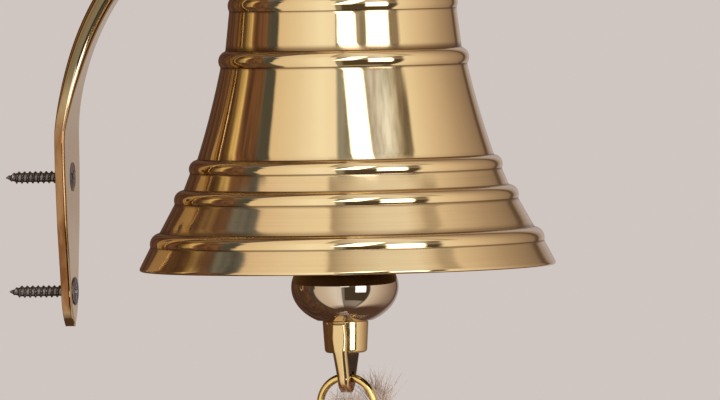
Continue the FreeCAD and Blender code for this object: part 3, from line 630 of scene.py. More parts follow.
# The rope's eye: up out of the seizing, over the bottom of the ring and down again.
EYE_ROUTE = [
    (0.0, -2.3, -81.0),
    (0.0, -4.4, -75.5),
    (0.0, -6.75, -69.5),
    (0.0, -6.75, -62.4),
    (0.0, -6.75, -56.8),
    (0.0, -2.8, -52.85),
    (0.0, 2.8, -52.85),
    (0.0, 6.75, -56.8),
    (0.0, 6.75, -62.4),
    (0.0, 6.75, -69.5),
    (0.0, 4.4, -75.5),
    (0.0, 2.3, -81.0),
]


def smooth_line(route):
    """Points along the smooth line that a route's points pull on."""
    curve = bpy.data.curves.new("route", "CURVE")
    curve.dimensions = "3D"
    spline = curve.splines.new("NURBS")
    spline.points.add(len(route) - 1)
    for point, place in zip(spline.points, route):
        point.co = (*place, 1.0)
    spline.order_u = 3
    spline.use_endpoint_u = True
    spline.resolution_u = 24
    carrier = bpy.data.objects.new("route", curve)
    mesh = bpy.data.meshes.new_from_object(carrier)
    line = [vertex.co.copy() for vertex in mesh.vertices]
    bpy.data.objects.remove(carrier)
    return line


def spread(line, step):
    """Points about one step apart along a line that was read from a spline or a knot."""
    total = sum((b - a).length for a, b in zip(line, line[1:]))
    count = max(2, round(total / step))
    result, walked, index = [line[0].copy()], 0.0, 0
    for i in range(1, count):
        goal = total * i / count
        while walked + (line[index + 1] - line[index]).length < goal:
            walked += (line[index + 1] - line[index]).length
            index += 1
        span = line[index + 1] - line[index]
        result.append(line[index] + span * ((goal - walked) / span.length))
    return result + [line[-1].copy()]


def laid_strands(line, radius, lay=31.0, step=1.6):
    """The three strands of a laid rope: each winds round the line once in every lay."""
    path = spread(line, step)
    strand = radius / (1 + 2 / sqrt(3))
    offset = radius - strand
    frames = frames_along(path)
    runs = []
    for s in range(3):
        run, walked = [], 0.0
        wobble = random.uniform(0, TURN)
        for i, (point, (_, side, up)) in enumerate(zip(path, frames)):
            walked += (point - path[i - 1]).length if i else 0.0
            angle = 2 * pi * (walked / lay + s / 3)
            wave = 1 + 0.03 * sin(walked * 0.9 + wobble)
            run.append(point + (side * cos(angle) + up * sin(angle)) * offset * wave)
        runs.append((run, strand * 1.06))
    return runs


def stray_fibres(line, radius, count, reach):
    """Short fibres that stand off a rope's surface."""
    path = spread(line, 1.0)
    frames = frames_along(path)
    runs = []
    for _ in range(count):
        i = random.randrange(len(path))
        along, side, up = frames[i]
        angle = random.uniform(0, 2 * pi)
        out = side * cos(angle) + up * sin(angle)
        around = along.cross(out)
        lean = along * random.uniform(-1, 1) + around * random.uniform(-1, 1)
        start = path[i] + out * radius * 0.9
        long = random.uniform(0.4, 1.0) * reach
        bend = Vector([random.uniform(-1, 1) for _ in range(3)]) * long * 0.25
        run = [start + (out * 0.6 + lean * 0.7) * long * t + bend * t * t for t in (0, 0.3, 0.6, 1.0)]
        runs.append((run, lambda t: 0.08 * (1.05 - t)))
    return runs


def make_laid(name, line, radius, node, sides=14, **laying):
    """A length of laid rope."""
    rope = tubes(name, laid_strands(line, radius, **laying), LINE_SPACE, sides)
    finish_piece(rope, cotton_rope, "lanyard", [node])
    return rope


def make_loose(name, runs, sides, nodes=()):
    """Fibres or yarns that no rope holds."""
    loose = tubes(name, runs, LINE_SPACE, sides)
    finish_piece(loose, loose_fibre, "lanyard", nodes)
    return loose


def make_seizing():
    """Twine wound close round both legs of the eye, drawing them in to one rope."""
    pitch = TWINE_RADIUS * 1.9
    turns = (SEIZING_TOP - SEIZING_BOTTOM - 2 * TWINE_RADIUS) / pitch
    path = []
    steps = int(turns * 44)
    for i in range(steps + 1):
        share = i / steps
        angle = 2 * pi * turns * share
        deep = ROPE_RADIUS + 0.05 - 0.3 * share
        flat = EYE_BEND * (1 - share ** 1.6) * 0.96 + 0.3
        x, y = cos(angle) * deep, sin(angle) * deep
        y += flat * max(-1.0, min(1.0, sin(angle) * 2.2))
        path.append(Vector((x, y, SEIZING_TOP - TWINE_RADIUS - turns * pitch * share)))
    cross = []
    for i in range(41):
        share = i / 40
        angle = pi * (0.5 + share)
        cross.append(Vector((-cos(angle) * (ROPE_RADIUS + 0.75), 1.2 * sin(angle * 2),
                             SEIZING_TOP + 0.4 - (SEIZING_TOP - SEIZING_BOTTOM - 0.2) * share)))
    seizing = tubes("rope_seizing_twine", [(path, TWINE_RADIUS), (cross, TWINE_RADIUS)], LINE_SPACE, 10)
    finish_piece(seizing, waxed_twine, "lanyard", ["rope_seizing"])
    return seizing


def make_frayed_end(tip):
    """Loose fibres that fan up and out from the strand's end, and more over the eye."""
    runs = []
    for _ in range(240):
        long = random.uniform(7.0, 18.5)
        out = Vector((random.gauss(-0.2, 0.26), random.gauss(0.0, 0.22), 1.0)).normalized()
        start = tip + Vector([random.uniform(-1.9, 1.9), random.uniform(-1.5, 1.5), random.uniform(-5, 0)])
        curl = Vector((random.gauss(0.05, 0.4), random.gauss(0, 0.3), random.gauss(-0.3, 0.3))) * long * 0.4
        phase = random.uniform(0, TURN)
        run = []
        for k in range(9):
            t = k / 8
            wave = Vector((sin(phase + t * 9), cos(phase + t * 7), 0)) * 0.35 * t
            run.append(start + out * long * t + curl * t * t + wave)
        runs.append((run, lambda t: 0.25 * (1.1 - t)))
    middle = RING_CENTRE - RING_RADIUS
    for _ in range(320):
        angle = random.uniform(0.15, 0.85) * pi
        crown = EYE_BEND + ROPE_RADIUS * 0.8
        side = random.uniform(-3.6, 3.6)
        start = Vector((side, -crown * cos(angle), middle + crown * sin(angle)))
        out = Vector((side * 0.12 + random.gauss(0, 0.35), -cos(angle) + random.gauss(0, 0.4),
                      0.75 * sin(angle) + random.gauss(0.1, 0.2)))
        long = random.uniform(1.5, 6.4)
        curl = Vector([random.gauss(0, 0.35) for _ in range(3)]) * long
        run = [start + out * long * t + curl * t * t for t in (0, 0.2, 0.4, 0.6, 0.8, 1.0)]
        runs.append((run, lambda t: 0.17 * (1.1 - t)))
    make_loose("frayed_fibres", runs, 4)


KNOT_TOP = -240.0
KNOT_HEIGHT = 21.6
KNOT_RADIUS = 11.5


def round_point(middle, radius, angle, height, push=0.0):
    """A point round a vertical line, pushed a little sideways."""
    x, y = middle.x + radius * cos(angle) + push, middle.y + radius * sin(angle) + push
    return Vector((x, y, height))


def make_end_knot(foot):
    """Stopper knot: the rope wound round itself three times, its end tucked through."""
    rope = 3.55
    ring = KNOT_RADIUS - rope - 0.2
    turns = 2.6
    line = []
    for i in range(141):
        share = i / 140
        angle = 2 * pi * turns * share
        belly = 1 - 0.16 * (2 * share - 1) ** 2
        height = KNOT_TOP - rope - (KNOT_HEIGHT - 2 * rope) * share
        line.append(round_point(foot, ring * belly, angle, height))
    core = [round_point(foot, 0, 0, KNOT_TOP - (KNOT_HEIGHT - 0.4) * t) for t in (0, 0.25, 0.5, 0.75, 1)]
    runs = laid_strands(line, rope, lay=22.0, step=1.1)
    runs += laid_strands(core, 4.8, lay=31.0, step=1.5)
    knot = tubes("end_knot_wound", runs, LINE_SPACE, 12)
    finish_piece(knot, cotton_rope, "lanyard", ["end_knot"])
    return knot


def make_tassel(foot):
    """The rope's yarns, unlaid and combed out below the knot."""
    top = KNOT_TOP - KNOT_HEIGHT
    length = 27.0
    runs = []
    for _ in range(210):
        share = sqrt(random.random())
        angle = random.uniform(0, 2 * pi)
        neck = 3.9 * share
        hem = min(7.9, 7.6 * share + random.gauss(0, 0.5))
        turn = angle + random.uniform(0.1, 0.7)
        long = length * random.uniform(0.86, 0.985)
        phase = random.uniform(0, TURN)
        run = []
        for k in range(11):
            t = k / 10
            radius = neck + (hem - neck) * t ** 0.7
            here = angle + (turn - angle) * t
            wave = 0.3 * sin(phase + t * 8) * t
            run.append(round_point(foot, radius, here, top - long * t + 0.3, wave))
        runs.append((run, lambda t: 0.36 * (1.0 - 0.45 * t)))
    return make_loose("end_tassel_yarns", runs, 6, ["end_tassel"])


def make_lanyard():
    line = smooth_line(ROPE_ROUTE)
    rope = make_laid("hanging_rope_laid", line, ROPE_RADIUS, "hanging_rope")
    make_loose("hanging_rope_fuzz", stray_fibres(line, ROPE_RADIUS, 420, 3.2), 3)
    eye_line = smooth_line(EYE_ROUTE)
    make_laid("rope_eye_laid", eye_line, ROPE_RADIUS - 0.1, "rope_eye", step=1.2)
    make_loose("rope_eye_fuzz", stray_fibres(eye_line, ROPE_RADIUS - 0.2, 260, 3.0), 3)
    seizing = make_seizing()
    # One strand's end, left long, stands up behind the ring and frays.
    tail_line = smooth_line(TAIL_ROUTE)
    strand = make_laid("rope_tail_strand", tail_line, TAIL_RADIUS, "rope_tail", 10, lay=14.0, step=0.8)
    make_frayed_end(tail_line[-1])
    foot = line[-1]
    knot = make_end_knot(foot)
    tassel = make_tassel(foot)
    path = [LINE_SPACE @ point for point in line]
    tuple(path[0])


make_lanyard()

# -------- bell

# Each bead: radius and height of its foot, radius of its bulge, radius and height of its top.
BEADS = [
    (71.0, 8.7, 4.0, 67.6, 13.7),
    (61.9, 24.1, 3.6, 58.6, 29.0),
    (56.2, 35.0, 3.4, 53.5, 39.9),
    (44.45, 72.9, 3.8, 42.6, 78.8),
    (40.95, 93.0, 4.4, 40.0, 98.3),
]
WAIST_BOW = 320.0           # the waist between the beads is very slightly hollow
CROWN_TOP = 124.0
CROWN_INSIDE = 119.0


def bell_corners():
    outside = [(71.0, 0.0), (74.6, 0.0), (75.0, 0.45), (75.0, 1.0)]
    for foot_radius, foot, bulge, top_radius, top in BEADS:
        outside += [(foot_radius, foot, bulge, 1), (top_radius, top)]
    waist = outside.index(BEADS[2][3:])
    outside[waist] += (WAIST_BOW, -1)
    outside += [(39.1, 103.0, 16.0, 1), (24.0, 118.6), (16.5, 120.4), (16.5, CROWN_TOP), (4.3, CROWN_TOP)]
    inside = [(4.3, CROWN_INSIDE), (13.5, CROWN_INSIDE), (24.0, 115.6, 13.0, -1), (36.1, 103.0),
              (39.6, 78.8), (41.45, 72.9), (50.2, 39.9), (55.3, 29.0), (64.0, 13.7)]
    return outside + inside


def make_bell():
    profile = softened(trace(bell_corners()), 0.32, max_turn=radians(4.5), max_gap=2.6)
    bell = lathe("bell_cast", profile, BELL_SPACE, 320)
    finish_piece(bell, bell_brass, "bell_stand", ["bell_shell"], ROUND)


make_bell()

# -------- wall bracket

PLATE_THICK = 3.7
PLATE_HALF = 14.5
TONGUE_HALF = 7.3           # at the lower screw
SCREW_HEIGHT = 20.7
PLATE_TIP = -33.4
TIP_BOW = 16.0
ARM_THICK = 7.6             # at its end
BOSS_LOW = ARM_START + ARM_RADIUS - ARM_THICK - 0.8
BOSS_HIGH = BOSS_LOW + 9.6
STUD_HOLE = 4.3

# Arm sections: angle round the arm's curve, half width, thickness and corner radius.
ARM_SECTIONS = [
    (0.0, 14.5, 3.7, 1.1),
    (7.5, 10.2, 4.9, 1.7),
    (16.0, 7.5, 6.0, 2.4),
    (31.0, 7.0, 6.8, 2.9),
    (50.0, 7.0, 7.2, 3.1),
    (70.0, 7.2, 7.4, 3.2),
    (90.0, 7.6, ARM_THICK, 3.2),
]
ACROSS_POINTS = 16          # points across a bar's flat faces


def section_ring(half, thick, front, back, place):
    """A rounded bar section as a ring of points. place turns (depth, across) into a point."""
    ring = []
    front = min(front, half * 0.96, thick * 0.49)
    back = min(back, half * 0.96, thick * 0.49)
    corners = [(thick - front, half - front, 0, front), (back, half - back, 90, back),
               (back, back - half, 180, back), (thick - front, front - half, 270, front)]
    for depth, across, start, radius in corners:
        for i in range(9):
            angle = radians(start + 90 * i / 8)
            ring.append(place(depth + radius * cos(angle), across + radius * sin(angle)))
        if start in (90, 270):
            level, reach = depth + radius * cos(radians(start + 90)), abs(across)
            for i in range(1, ACROSS_POINTS):
                share = 1 - 2 * i / ACROSS_POINTS
                ring.append(place(level, reach * (share if start == 90 else -share)))
    return ring


def between(table, value):
    """Smoothly read a table of rows sorted by their first number."""
    rows = [table[0]] + list(table) + [table[-1]]
    for i in range(1, len(rows) - 2):
        if value <= rows[i + 1][0]:
            break
    before, low, high, after = rows[i - 1:i + 3]
    t = (value - low[0]) / max(high[0] - low[0], TINY)
    span = high[0] - low[0]
    result = []
    for b, l, h, a in zip(before[1:], low[1:], high[1:], after[1:]):
        slope_low = (h - b) / max(high[0] - before[0], TINY) * span
        slope_high = (a - l) / max(after[0] - low[0], TINY) * span
        result.append(l * (2 * t ** 3 - 3 * t ** 2 + 1) + slope_low * (t ** 3 - 2 * t ** 2 + t)
                      + h * (3 * t ** 2 - 2 * t ** 3) + slope_high * (t ** 3 - t ** 2))
    return result


def along_steps(steps, value):
    """Read a table of (place, size) along straight lines, and its last size past its end."""
    for (low, near), (high, far) in zip(steps, steps[1:]):
        if value <= high:
            return near + (far - near) * (value - low) / (high - low)
    return steps[-1][1]


def plate_half_width(height):
    """Half the plate's width at a height: a bowed tongue, then two straight tapers."""
    if height < -SCREW_HEIGHT:
        side = arc((0.0, PLATE_TIP), (TONGUE_HALF, -SCREW_HEIGHT), TIP_BOW, 1, 0.1)
        return next((across for across, up in side if up >= height), TONGUE_HALF)
    return along_steps([(-SCREW_HEIGHT, TONGUE_HALF), (3.0, 12.2), (24.0, PLATE_HALF)], height)


def bracket_skin():
    sections = []
    heights = [PLATE_TIP + 0.02 + i * 0.45 for i in range(28)]
    heights += [-20.0 + i * 2.0 for i in range(28)]
    for height in heights:
        half = max(0.35, plate_half_width(height))
        sections.append(section_ring(half, PLATE_THICK, 1.1, 0.25, lambda d, a, z=height: (d, a, z)))
    steps = 110
    for i in range(1, steps + 1):
        angle = 93.5 * i / steps
        half, thick, corner = between(ARM_SECTIONS, min(angle, 90.0))
        turn = radians(angle)
        back = 0.25 + (corner - 0.25) * min(1.0, angle / 9)

        def place(depth, across, turn=turn):
            radius = ARM_RADIUS - depth
            return (ARM_RADIUS - radius * cos(turn), across, ARM_START + radius * sin(turn))
        sections.append(section_ring(half, thick, corner, back, place))
    return loft("arm", sections, WALL_SPACE)


def make_bracket():
    bracket = bracket_skin()
    low, high = BOSS_LOW, BOSS_HIGH
    boss = [(0, low), (9.1, low), (10.0, low + 0.9), (10.0, high - 0.9), (9.1, high), (0, high)]
    at_boss = WALL_SPACE @ Matrix.Translation((REACH, 0, 0))
    combine(bracket, [turned("boss", boss, at_boss, 128, 0.3)], "UNION")
    tools = [rod("boss_hole", STUD_HOLE, low - 2, high + 2, at_boss)]
    for side in (1, -1):
        facing = WALL_SPACE @ Matrix.Translation((0, 0, SCREW_HEIGHT * side)) @ ACROSS
        sink = [(0, -1), (2.6, -1), (2.6, PLATE_THICK - 2.9), (5.5, PLATE_THICK), (5.5, 5), (0, 5)]
        tools.append(lathe("countersink", sink, facing, 96, closed=False))
    combine(bracket, tools, "DIFFERENCE")
    finish_piece(bracket, bracket_brass, "bell_stand", ["wall_bracket"])
    weigh_normals(bracket)


make_bracket()

# -------- wood screws


def screw_radius(depth, angle, thread_from, tip_from, tip):
    """Radius of a wood screw's thread: a sharp ridge that winds down to a gimlet point."""
    core, crest, pitch = 1.65, 2.34, 2.0
    phase = (depth / pitch - angle / (2 * pi)) % 1.0
    ridge = max(0.0, 1 - abs(phase - 0.5) * 3.4)
    fade = min(1.0, max(0.0, (depth - thread_from) / 1.2))
    radius = core + (crest - core) * ridge * fade
    if depth > tip_from:
        left = max(0.0, (tip - depth) / (tip - tip_from))
        radius *= left ** 0.75
    return radius


def make_screw(name, side, proud):
    head_depth, shank, rows = 3.0, 2.5, 129
    head = [(0.0, 0.0), (4.85, 0.0), (5.15, -0.35), (shank, -head_depth)]
    top = softened(trace(head), 0.12, closed=False)
    segments = 56
    sections = [circle(radius, height, segments) for radius, height in top[1:]]
    neck_end, tip_from, tip = 4.2, 20.7, 24.7
    for i in range(1, rows + 1):
        depth = head_depth + (tip - head_depth) * i / rows
        ring = []
        for k in range(segments):
            angle = 2 * pi * k / segments
            radius = screw_radius(depth, angle, neck_end, tip_from, tip)
            if depth < neck_end + 1.2:
                blend = min(1.0, max(0.0, (depth - head_depth) / (neck_end - 1.8)))
                radius = radius + (shank - 0.15 * blend - radius) * (1 - blend)
            ring.append((radius * cos(angle), radius * sin(angle), -depth))
        sections.append(ring)
    seat = Matrix.Translation((PLATE_THICK + proud, 0, SCREW_HEIGHT * side)) @ ACROSS
    space = WALL_SPACE @ seat @ Matrix.Rotation(radians(23 + 31 * side), 4, "Z")
    screw = loft(name, sections, space)
    bars = []
    for turn in (0, pi / 2):
        wide, narrow, deep = 2.6, 0.62, 1.9
        ends = [(wide * 0.62, narrow * 0.55, -deep), (wide, narrow, 0.05)]
        verts = [(x * sx, y * sy, z) for x, y, z in ends for sx, sy in ((1, 1), (-1, 1), (-1, -1), (1, -1))]
        faces = [[0, 1, 2, 3], [7, 6, 5, 4]] + [[i, (i + 1) % 4, (i + 1) % 4 + 4, i + 4] for i in range(4)]
        bars.append(face_outward(make_object("bar", verts, faces, space @ Matrix.Rotation(turn, 4, "Z"))))
    combine(screw, bars, "DIFFERENCE")
    finish_piece(screw, screw_steel, "bell_stand", [name[:-6]])


make_screw("upper_screw_steel", 1, 0.0)
make_screw("lower_screw_steel", -1, 0.5)

# -------- stack on the stud

WASHER_THICK = 1.6
STACK_BOTTOM = CROWN_TOP + WASHER_THICK
STACK_TOP = BOSS_HIGH + LIP_DROP


def turned_ring(name, corners, material, node):
    piece = lathe(name, softened(trace(corners), 0.25), BELL_SPACE, 128)
    finish_piece(piece, material, "bell_stand", [node], ROUND)


def plain_washer(name, radius, low, material, node):
    high = low + WASHER_THICK
    corners = [(STUD_HOLE, low), (radius, low), (radius, high), (STUD_HOLE, high)]
    turned_ring(name, corners, material, node)


def make_lock_washer(low, thick):
    """Spring washer: a square wire bent into one turn, its cut ends a little apart in height."""
    sections = []
    for i in range(97):
        share = i / 96
        angle = radians(4 + 352 * share)
        lift = 0.5 * (share - 0.5)

        def place(depth, across, angle=angle, lift=lift):
            radius = 4.35 + depth
            return (radius * cos(angle), radius * sin(angle), low + thick / 2 + lift + across)
        sections.append(section_ring(thick / 2 - 0.27, 2.6, 0.3, 0.3, place))
    washer = loft("lock_washer_spring", sections, BELL_SPACE)
    finish_piece(washer, spring_steel, "bell_stand", ["lock_washer"])


def make_dome_nut(low):
    """Hexagon with chamfered corners, a neck and a closed dome."""
    corner, height, segments = 7.5, 7.0, 180
    flat = corner * cos(pi / 6)
    sections = []
    levels = [0.0, 0.15, 0.35, 0.6, 0.9, 1.2, 3.5, 5.6, 5.9, 6.2, 6.5, 6.8, 6.95, 7.0]
    for level in levels:
        end = min(level, height - level)
        limit = flat * 0.97 + end / tan(radians(30))
        ring = []
        for k in range(segments):
            angle = 2 * pi * k / segments
            off = (angle + pi / 6) % (pi / 3) - pi / 6
            radius = min(flat / cos(off) if abs(off) < pi / 6 else corner, limit)
            ring.append((radius * cos(angle + pi / 6), radius * sin(angle + pi / 6),
                         low + level))
        sections.append(ring)
    dome = [(6.6, low + height)] + [
        (6.2 * cos(a), low + height + 0.15 + 6.55 * sin(a))
        for a in (pi / 2 * i / 22 for i in range(22))]
    sections += [circle(radius, level, segments, pi / 6) for radius, level in dome]
    nut = loft("dome_nut_brass", sections, BELL_SPACE)
    bore = rod("bore", 4.0, low - 1, 161.0, BELL_SPACE)
    combine(nut, [bore], "DIFFERENCE")
    finish_piece(nut, hardware_brass, "bell_stand", ["dome_nut"], radians(25))


def make_stack():
    plain_washer("inner_washer_brass", 10.5, CROWN_INSIDE - WASHER_THICK, hardware_brass, "inner_washer")
    plain_washer("crown_washer_fibre", 10.5, CROWN_TOP, red_fibre, "crown_washer")
    low, high = STACK_BOTTOM, BOSS_LOW + LIP_DROP
    turned_ring("spacer_turned", [
        (STUD_HOLE, low), (8.5, low), (8.5, low + 1.5), (6.6, low + 2.5, 14.0, -1), (6.6, high - 2.5),
        (8.5, high - 1.5), (8.5, high), (STUD_HOLE, high)], hardware_brass, "spacer_collar")
    plain_washer("top_washer_brass", 9.0, STACK_TOP, hardware_brass, "top_washer")
    make_lock_washer(STACK_TOP + WASHER_THICK, 2.0)
    make_dome_nut(STACK_TOP + WASHER_THICK + 2.0)


make_stack()

# -------- fork and its pins

PIVOT = 104.0
FORK_BOTTOM = 96.0
FORK_SLOT_TOP = 112.6
FORK_RADIUS = 9.5
PIN_RADIUS = 2.5
PIN_PLAY = 0.06
PIN_HOLE_PLACE = -10.2      # the split pin's place along the clevis pin
ALONG = Matrix.Rotation(-pi / 2, 4, "X")    # turns up to forwards


def make_fork():
    shoulder = CROWN_INSIDE - WASHER_THICK
    solid = [(0, FORK_BOTTOM), (FORK_RADIUS, FORK_BOTTOM), (FORK_RADIUS, shoulder), (4.0, shoulder),
             (4.0, 159.5), (3.0, 160.5), (0, 160.5)]
    fork = lathe("hanger_fork_brass", solid, HANG_SPACE, 96, closed=False)
    tools = [block("gap", (-4.0, -12, FORK_BOTTOM - 2), (4.0, 12, FORK_SLOT_TOP), HANG_SPACE)]
    for low, high in ((8.5, 12.0), (-12.0, -8.5)):
        tools.append(block("flat", (low, -12, FORK_BOTTOM - 2), (high, 12, FORK_SLOT_TOP), HANG_SPACE))
    at_pin = HANG_SPACE @ Matrix.Translation((0, 0, PIVOT)) @ ACROSS
    tools.append(rod("pin_hole", PIN_RADIUS + PIN_PLAY, -14, 14, at_pin))
    combine(fork, tools, "DIFFERENCE")
    bevel(fork, 0.3)
    finish_piece(fork, hardware_brass, "bell_stand", ["hanger_fork"])


def make_clevis_pin():
    space = HANG_SPACE @ Matrix.Translation((0, 0, PIVOT)) @ ACROSS
    pin = turned("clevis_pin_steel", [
        (0, -12.4), (2.0, -12.4), (PIN_RADIUS, -11.9), (PIN_RADIUS, 8.5), (4.2, 8.5), (4.2, 9.6),
        (3.3, 10.5), (0, 10.5)], space)
    hole = rod("cotter_hole", 0.85, -4, 4, space @ Matrix.Translation((0, 0, PIN_HOLE_PLACE)) @ ALONG, 24)
    combine(pin, [hole], "DIFFERENCE")
    finish_piece(pin, spring_steel, "bell_stand", ["clevis_pin"])


def make_split_pin():
    """Half-round wire folded on itself: a round eye, two legs through the hole, ends bent apart."""
    runs = []
    for side in (1, -1):
        legs = [Vector((PIN_HOLE_PLACE, 5.4 - 10.6 * i / 12, 0.36 * side)) for i in range(13)]
        bent = [Vector((PIN_HOLE_PLACE, -5.3 - 0.25 * sin(a), side * (0.36 + 1.6 * (1 - cos(a)))))
                for a in (pi / 2 * i / 6 for i in range(1, 6))]
        runs.append(([point + Vector((0, 0, PIVOT)) for point in legs + bent], 0.34))
    eye = [Vector((PIN_HOLE_PLACE, 6.85 - 1.5 * cos(a), PIVOT + 1.5 * sin(a)))
           for a in (0.25 + (2 * pi - 0.5) * i / 32 for i in range(33))]
    runs.append((eye, 0.42))
    pin = tubes("split_pin_wire", runs, HANG_SPACE, 12)
    finish_piece(pin, spring_steel, "bell_stand", ["split_pin"])


make_fork()
make_clevis_pin()
make_split_pin()

# -------- clapper

ROD_RADIUS = 3.5
SOCKET_RADIUS = 3.0         # the rod's lower end, inside the collar
SOCKET_BOTTOM = -27.0
COLLAR_TOP = -18.9
BOB_RADIUS = 19.4
BOB_HALF_HEIGHT = 14.1
BOB_CENTRE = -6.85


def make_clapper_rod():
    corners = [(0, SOCKET_BOTTOM), (SOCKET_RADIUS, SOCKET_BOTTOM), (SOCKET_RADIUS, COLLAR_TOP),
               (ROD_RADIUS, COLLAR_TOP), (ROD_RADIUS, PIVOT - 15.0), (2.35, PIVOT - 11.5),
               (2.35, PIVOT - 3.0), (0, PIVOT - 3.0)]
    stem = turned("clapper_rod_brass", corners, LINE_SPACE)
    side = LINE_SPACE @ Matrix.Translation((0, 0, PIVOT)) @ ACROSS
    rim = [(0, -2.5), (6.1, -2.5), (6.5, -2.1), (6.5, 2.1), (6.1, 2.5), (0, 2.5)]
    combine(stem, [turned("eye", rim, side, 72)], "UNION")
    combine(stem, [rod("eye_hole", PIN_RADIUS + PIN_PLAY, -4, 4, side)], "DIFFERENCE")
    finish_piece(stem, hardware_brass, "clapper", ["clapper_rod"])


def make_bob():
    low = asin((COLLAR_TOP - BOB_CENTRE) / BOB_HALF_HEIGHT)
    high = acos(ROD_RADIUS / BOB_RADIUS)
    steps = 90
    profile = [(ROD_RADIUS, COLLAR_TOP), (5.5, COLLAR_TOP)]
    for i in range(steps + 1):
        angle = low + (high - low) * i / steps
        profile.append((BOB_RADIUS * cos(angle), BOB_CENTRE + BOB_HALF_HEIGHT * sin(angle)))
    bob = lathe("clapper_bob_bronze", softened(profile, 0.2), LINE_SPACE, 192)
    finish_piece(bob, bob_bronze, "clapper", ["clapper_bob"], ROUND)


LUG_TOP = -19.6
# Lug sections: height, thickness and corner radius.
LUG_SECTIONS = [(-45.5, 4.1, 1.8), (-39.4, 4.6, 1.9), (-31.0, 5.3, 1.8), (-25.5, 5.75, 1.2),
                (-22.0, 5.2, 1.0), (LUG_TOP, 4.85, 0.9)]
LUG_HOLE_HEIGHT = -39.4
LUG_HOLE_RADIUS = 2.0
LUG_END_RADIUS = 5.6
LUG_HALF_WIDTH = 9.2


def lug_half_width(height):
    if height < LUG_HOLE_HEIGHT:
        return sqrt(max(0.0, LUG_END_RADIUS ** 2 - (height - LUG_HOLE_HEIGHT) ** 2))
    return along_steps([(LUG_HOLE_HEIGHT, LUG_END_RADIUS), (-30.0, LUG_HALF_WIDTH),
                        (-20.2, LUG_HALF_WIDTH), (LUG_TOP, LUG_HALF_WIDTH - 0.35)], height)


def make_tail():
    """Collar cast in one piece with the lug."""
    low, high = LUG_HOLE_HEIGHT - LUG_END_RADIUS + 0.02, LUG_TOP
    rows = [low + (LUG_HOLE_HEIGHT - low) * (1 - cos(pi / 2 * i / 14)) for i in range(14)]
    rows += [LUG_HOLE_HEIGHT + (high - LUG_HOLE_HEIGHT) * i / 36 for i in range(37)]
    sections = []
    for height in rows:
        thick, corner = between(LUG_SECTIONS, height)
        half = max(0.6, lug_half_width(height))
        sections.append(section_ring(half, thick, corner, corner,
                                     lambda d, a, z=height, t=thick: (d - t / 2, a, z)))
    tail = loft("clapper_tail_brass", sections, LINE_SPACE)
    collar = [(0, -30.6), (6.4, -30.6, 1.3, 1), (7.7, -29.3), (8.3, COLLAR_TOP - 0.5),
              (7.9, COLLAR_TOP), (0, COLLAR_TOP)]
    combine(tail, [turned("collar", collar, LINE_SPACE, 128)], "UNION")
    at_hole = LINE_SPACE @ Matrix.Translation((0, 0, LUG_HOLE_HEIGHT)) @ ACROSS
    hole = rod("ring_hole", LUG_HOLE_RADIUS, -6, 6, at_hole, 48)
    socket = rod("socket", SOCKET_RADIUS, SOCKET_BOTTOM, COLLAR_TOP + 0.9, LINE_SPACE)
    combine(tail, [hole, socket], "DIFFERENCE")
    finish_piece(tail, tail_brass, "clapper", ["clapper_tail"])
    weigh_normals(tail)


def make_ring():
    """Wire bent round and brazed: the joint shows as a slight swelling."""
    steps = 160
    path = []
    for i in range(steps):
        angle = 2 * pi * i / steps
        radius = RING_RADIUS + 0.08 * sin(2 * angle + 0.6)
        path.append(Vector((radius * sin(angle), 0, RING_CENTRE - radius * cos(angle))))

    def wire(share):
        past_joint = share * 360 - RING_JOINT
        swelling = exp(-(past_joint / 4.0) ** 2)
        groove = exp(-(past_joint / 1.4) ** 2)
        return RING_WIRE - 0.03 + 0.05 * swelling - 0.09 * groove
    verts, faces, _ = tube_parts(path, wire, 28, looped=True)
    ring = face_outward(make_object("pull_ring_brass", verts, faces, LINE_SPACE))
    finish_piece(ring, ring_brass, "ring", ["pull_ring"], ROUND)


make_clapper_rod()
make_bob()
make_tail()
make_ring()

# -------- studio

BACKGROUND = (0.624, 0.565, 0.533)
SLATE = (0.085, 0.083, 0.082)


def spot(degrees):
    """Place on a ramp of a direction round the object; 0 is toward the camera, right is positive."""
    return degrees / 360 + 0.5


def studio_ring(left, middle, right):
    """What stands round the object at one height, from far left to far right, as ramp stops."""
    return [(spot(place), colour) for place, colour in left + middle + right]


def window(nodes, azimuth, elevation, middle, size, soft):
    """A share that is 1 inside a rectangle of directions, in degrees."""
    share = None
    for value, centre, width in ((azimuth, middle[0], size[0]), (elevation, middle[1], size[1])):
        away = nodes.size(nodes.minus(value, centre))
        inside = nodes.remap(away, width / 2 + soft, width / 2 - soft)
        share = inside if share is None else nodes.times(share, inside)
    return share


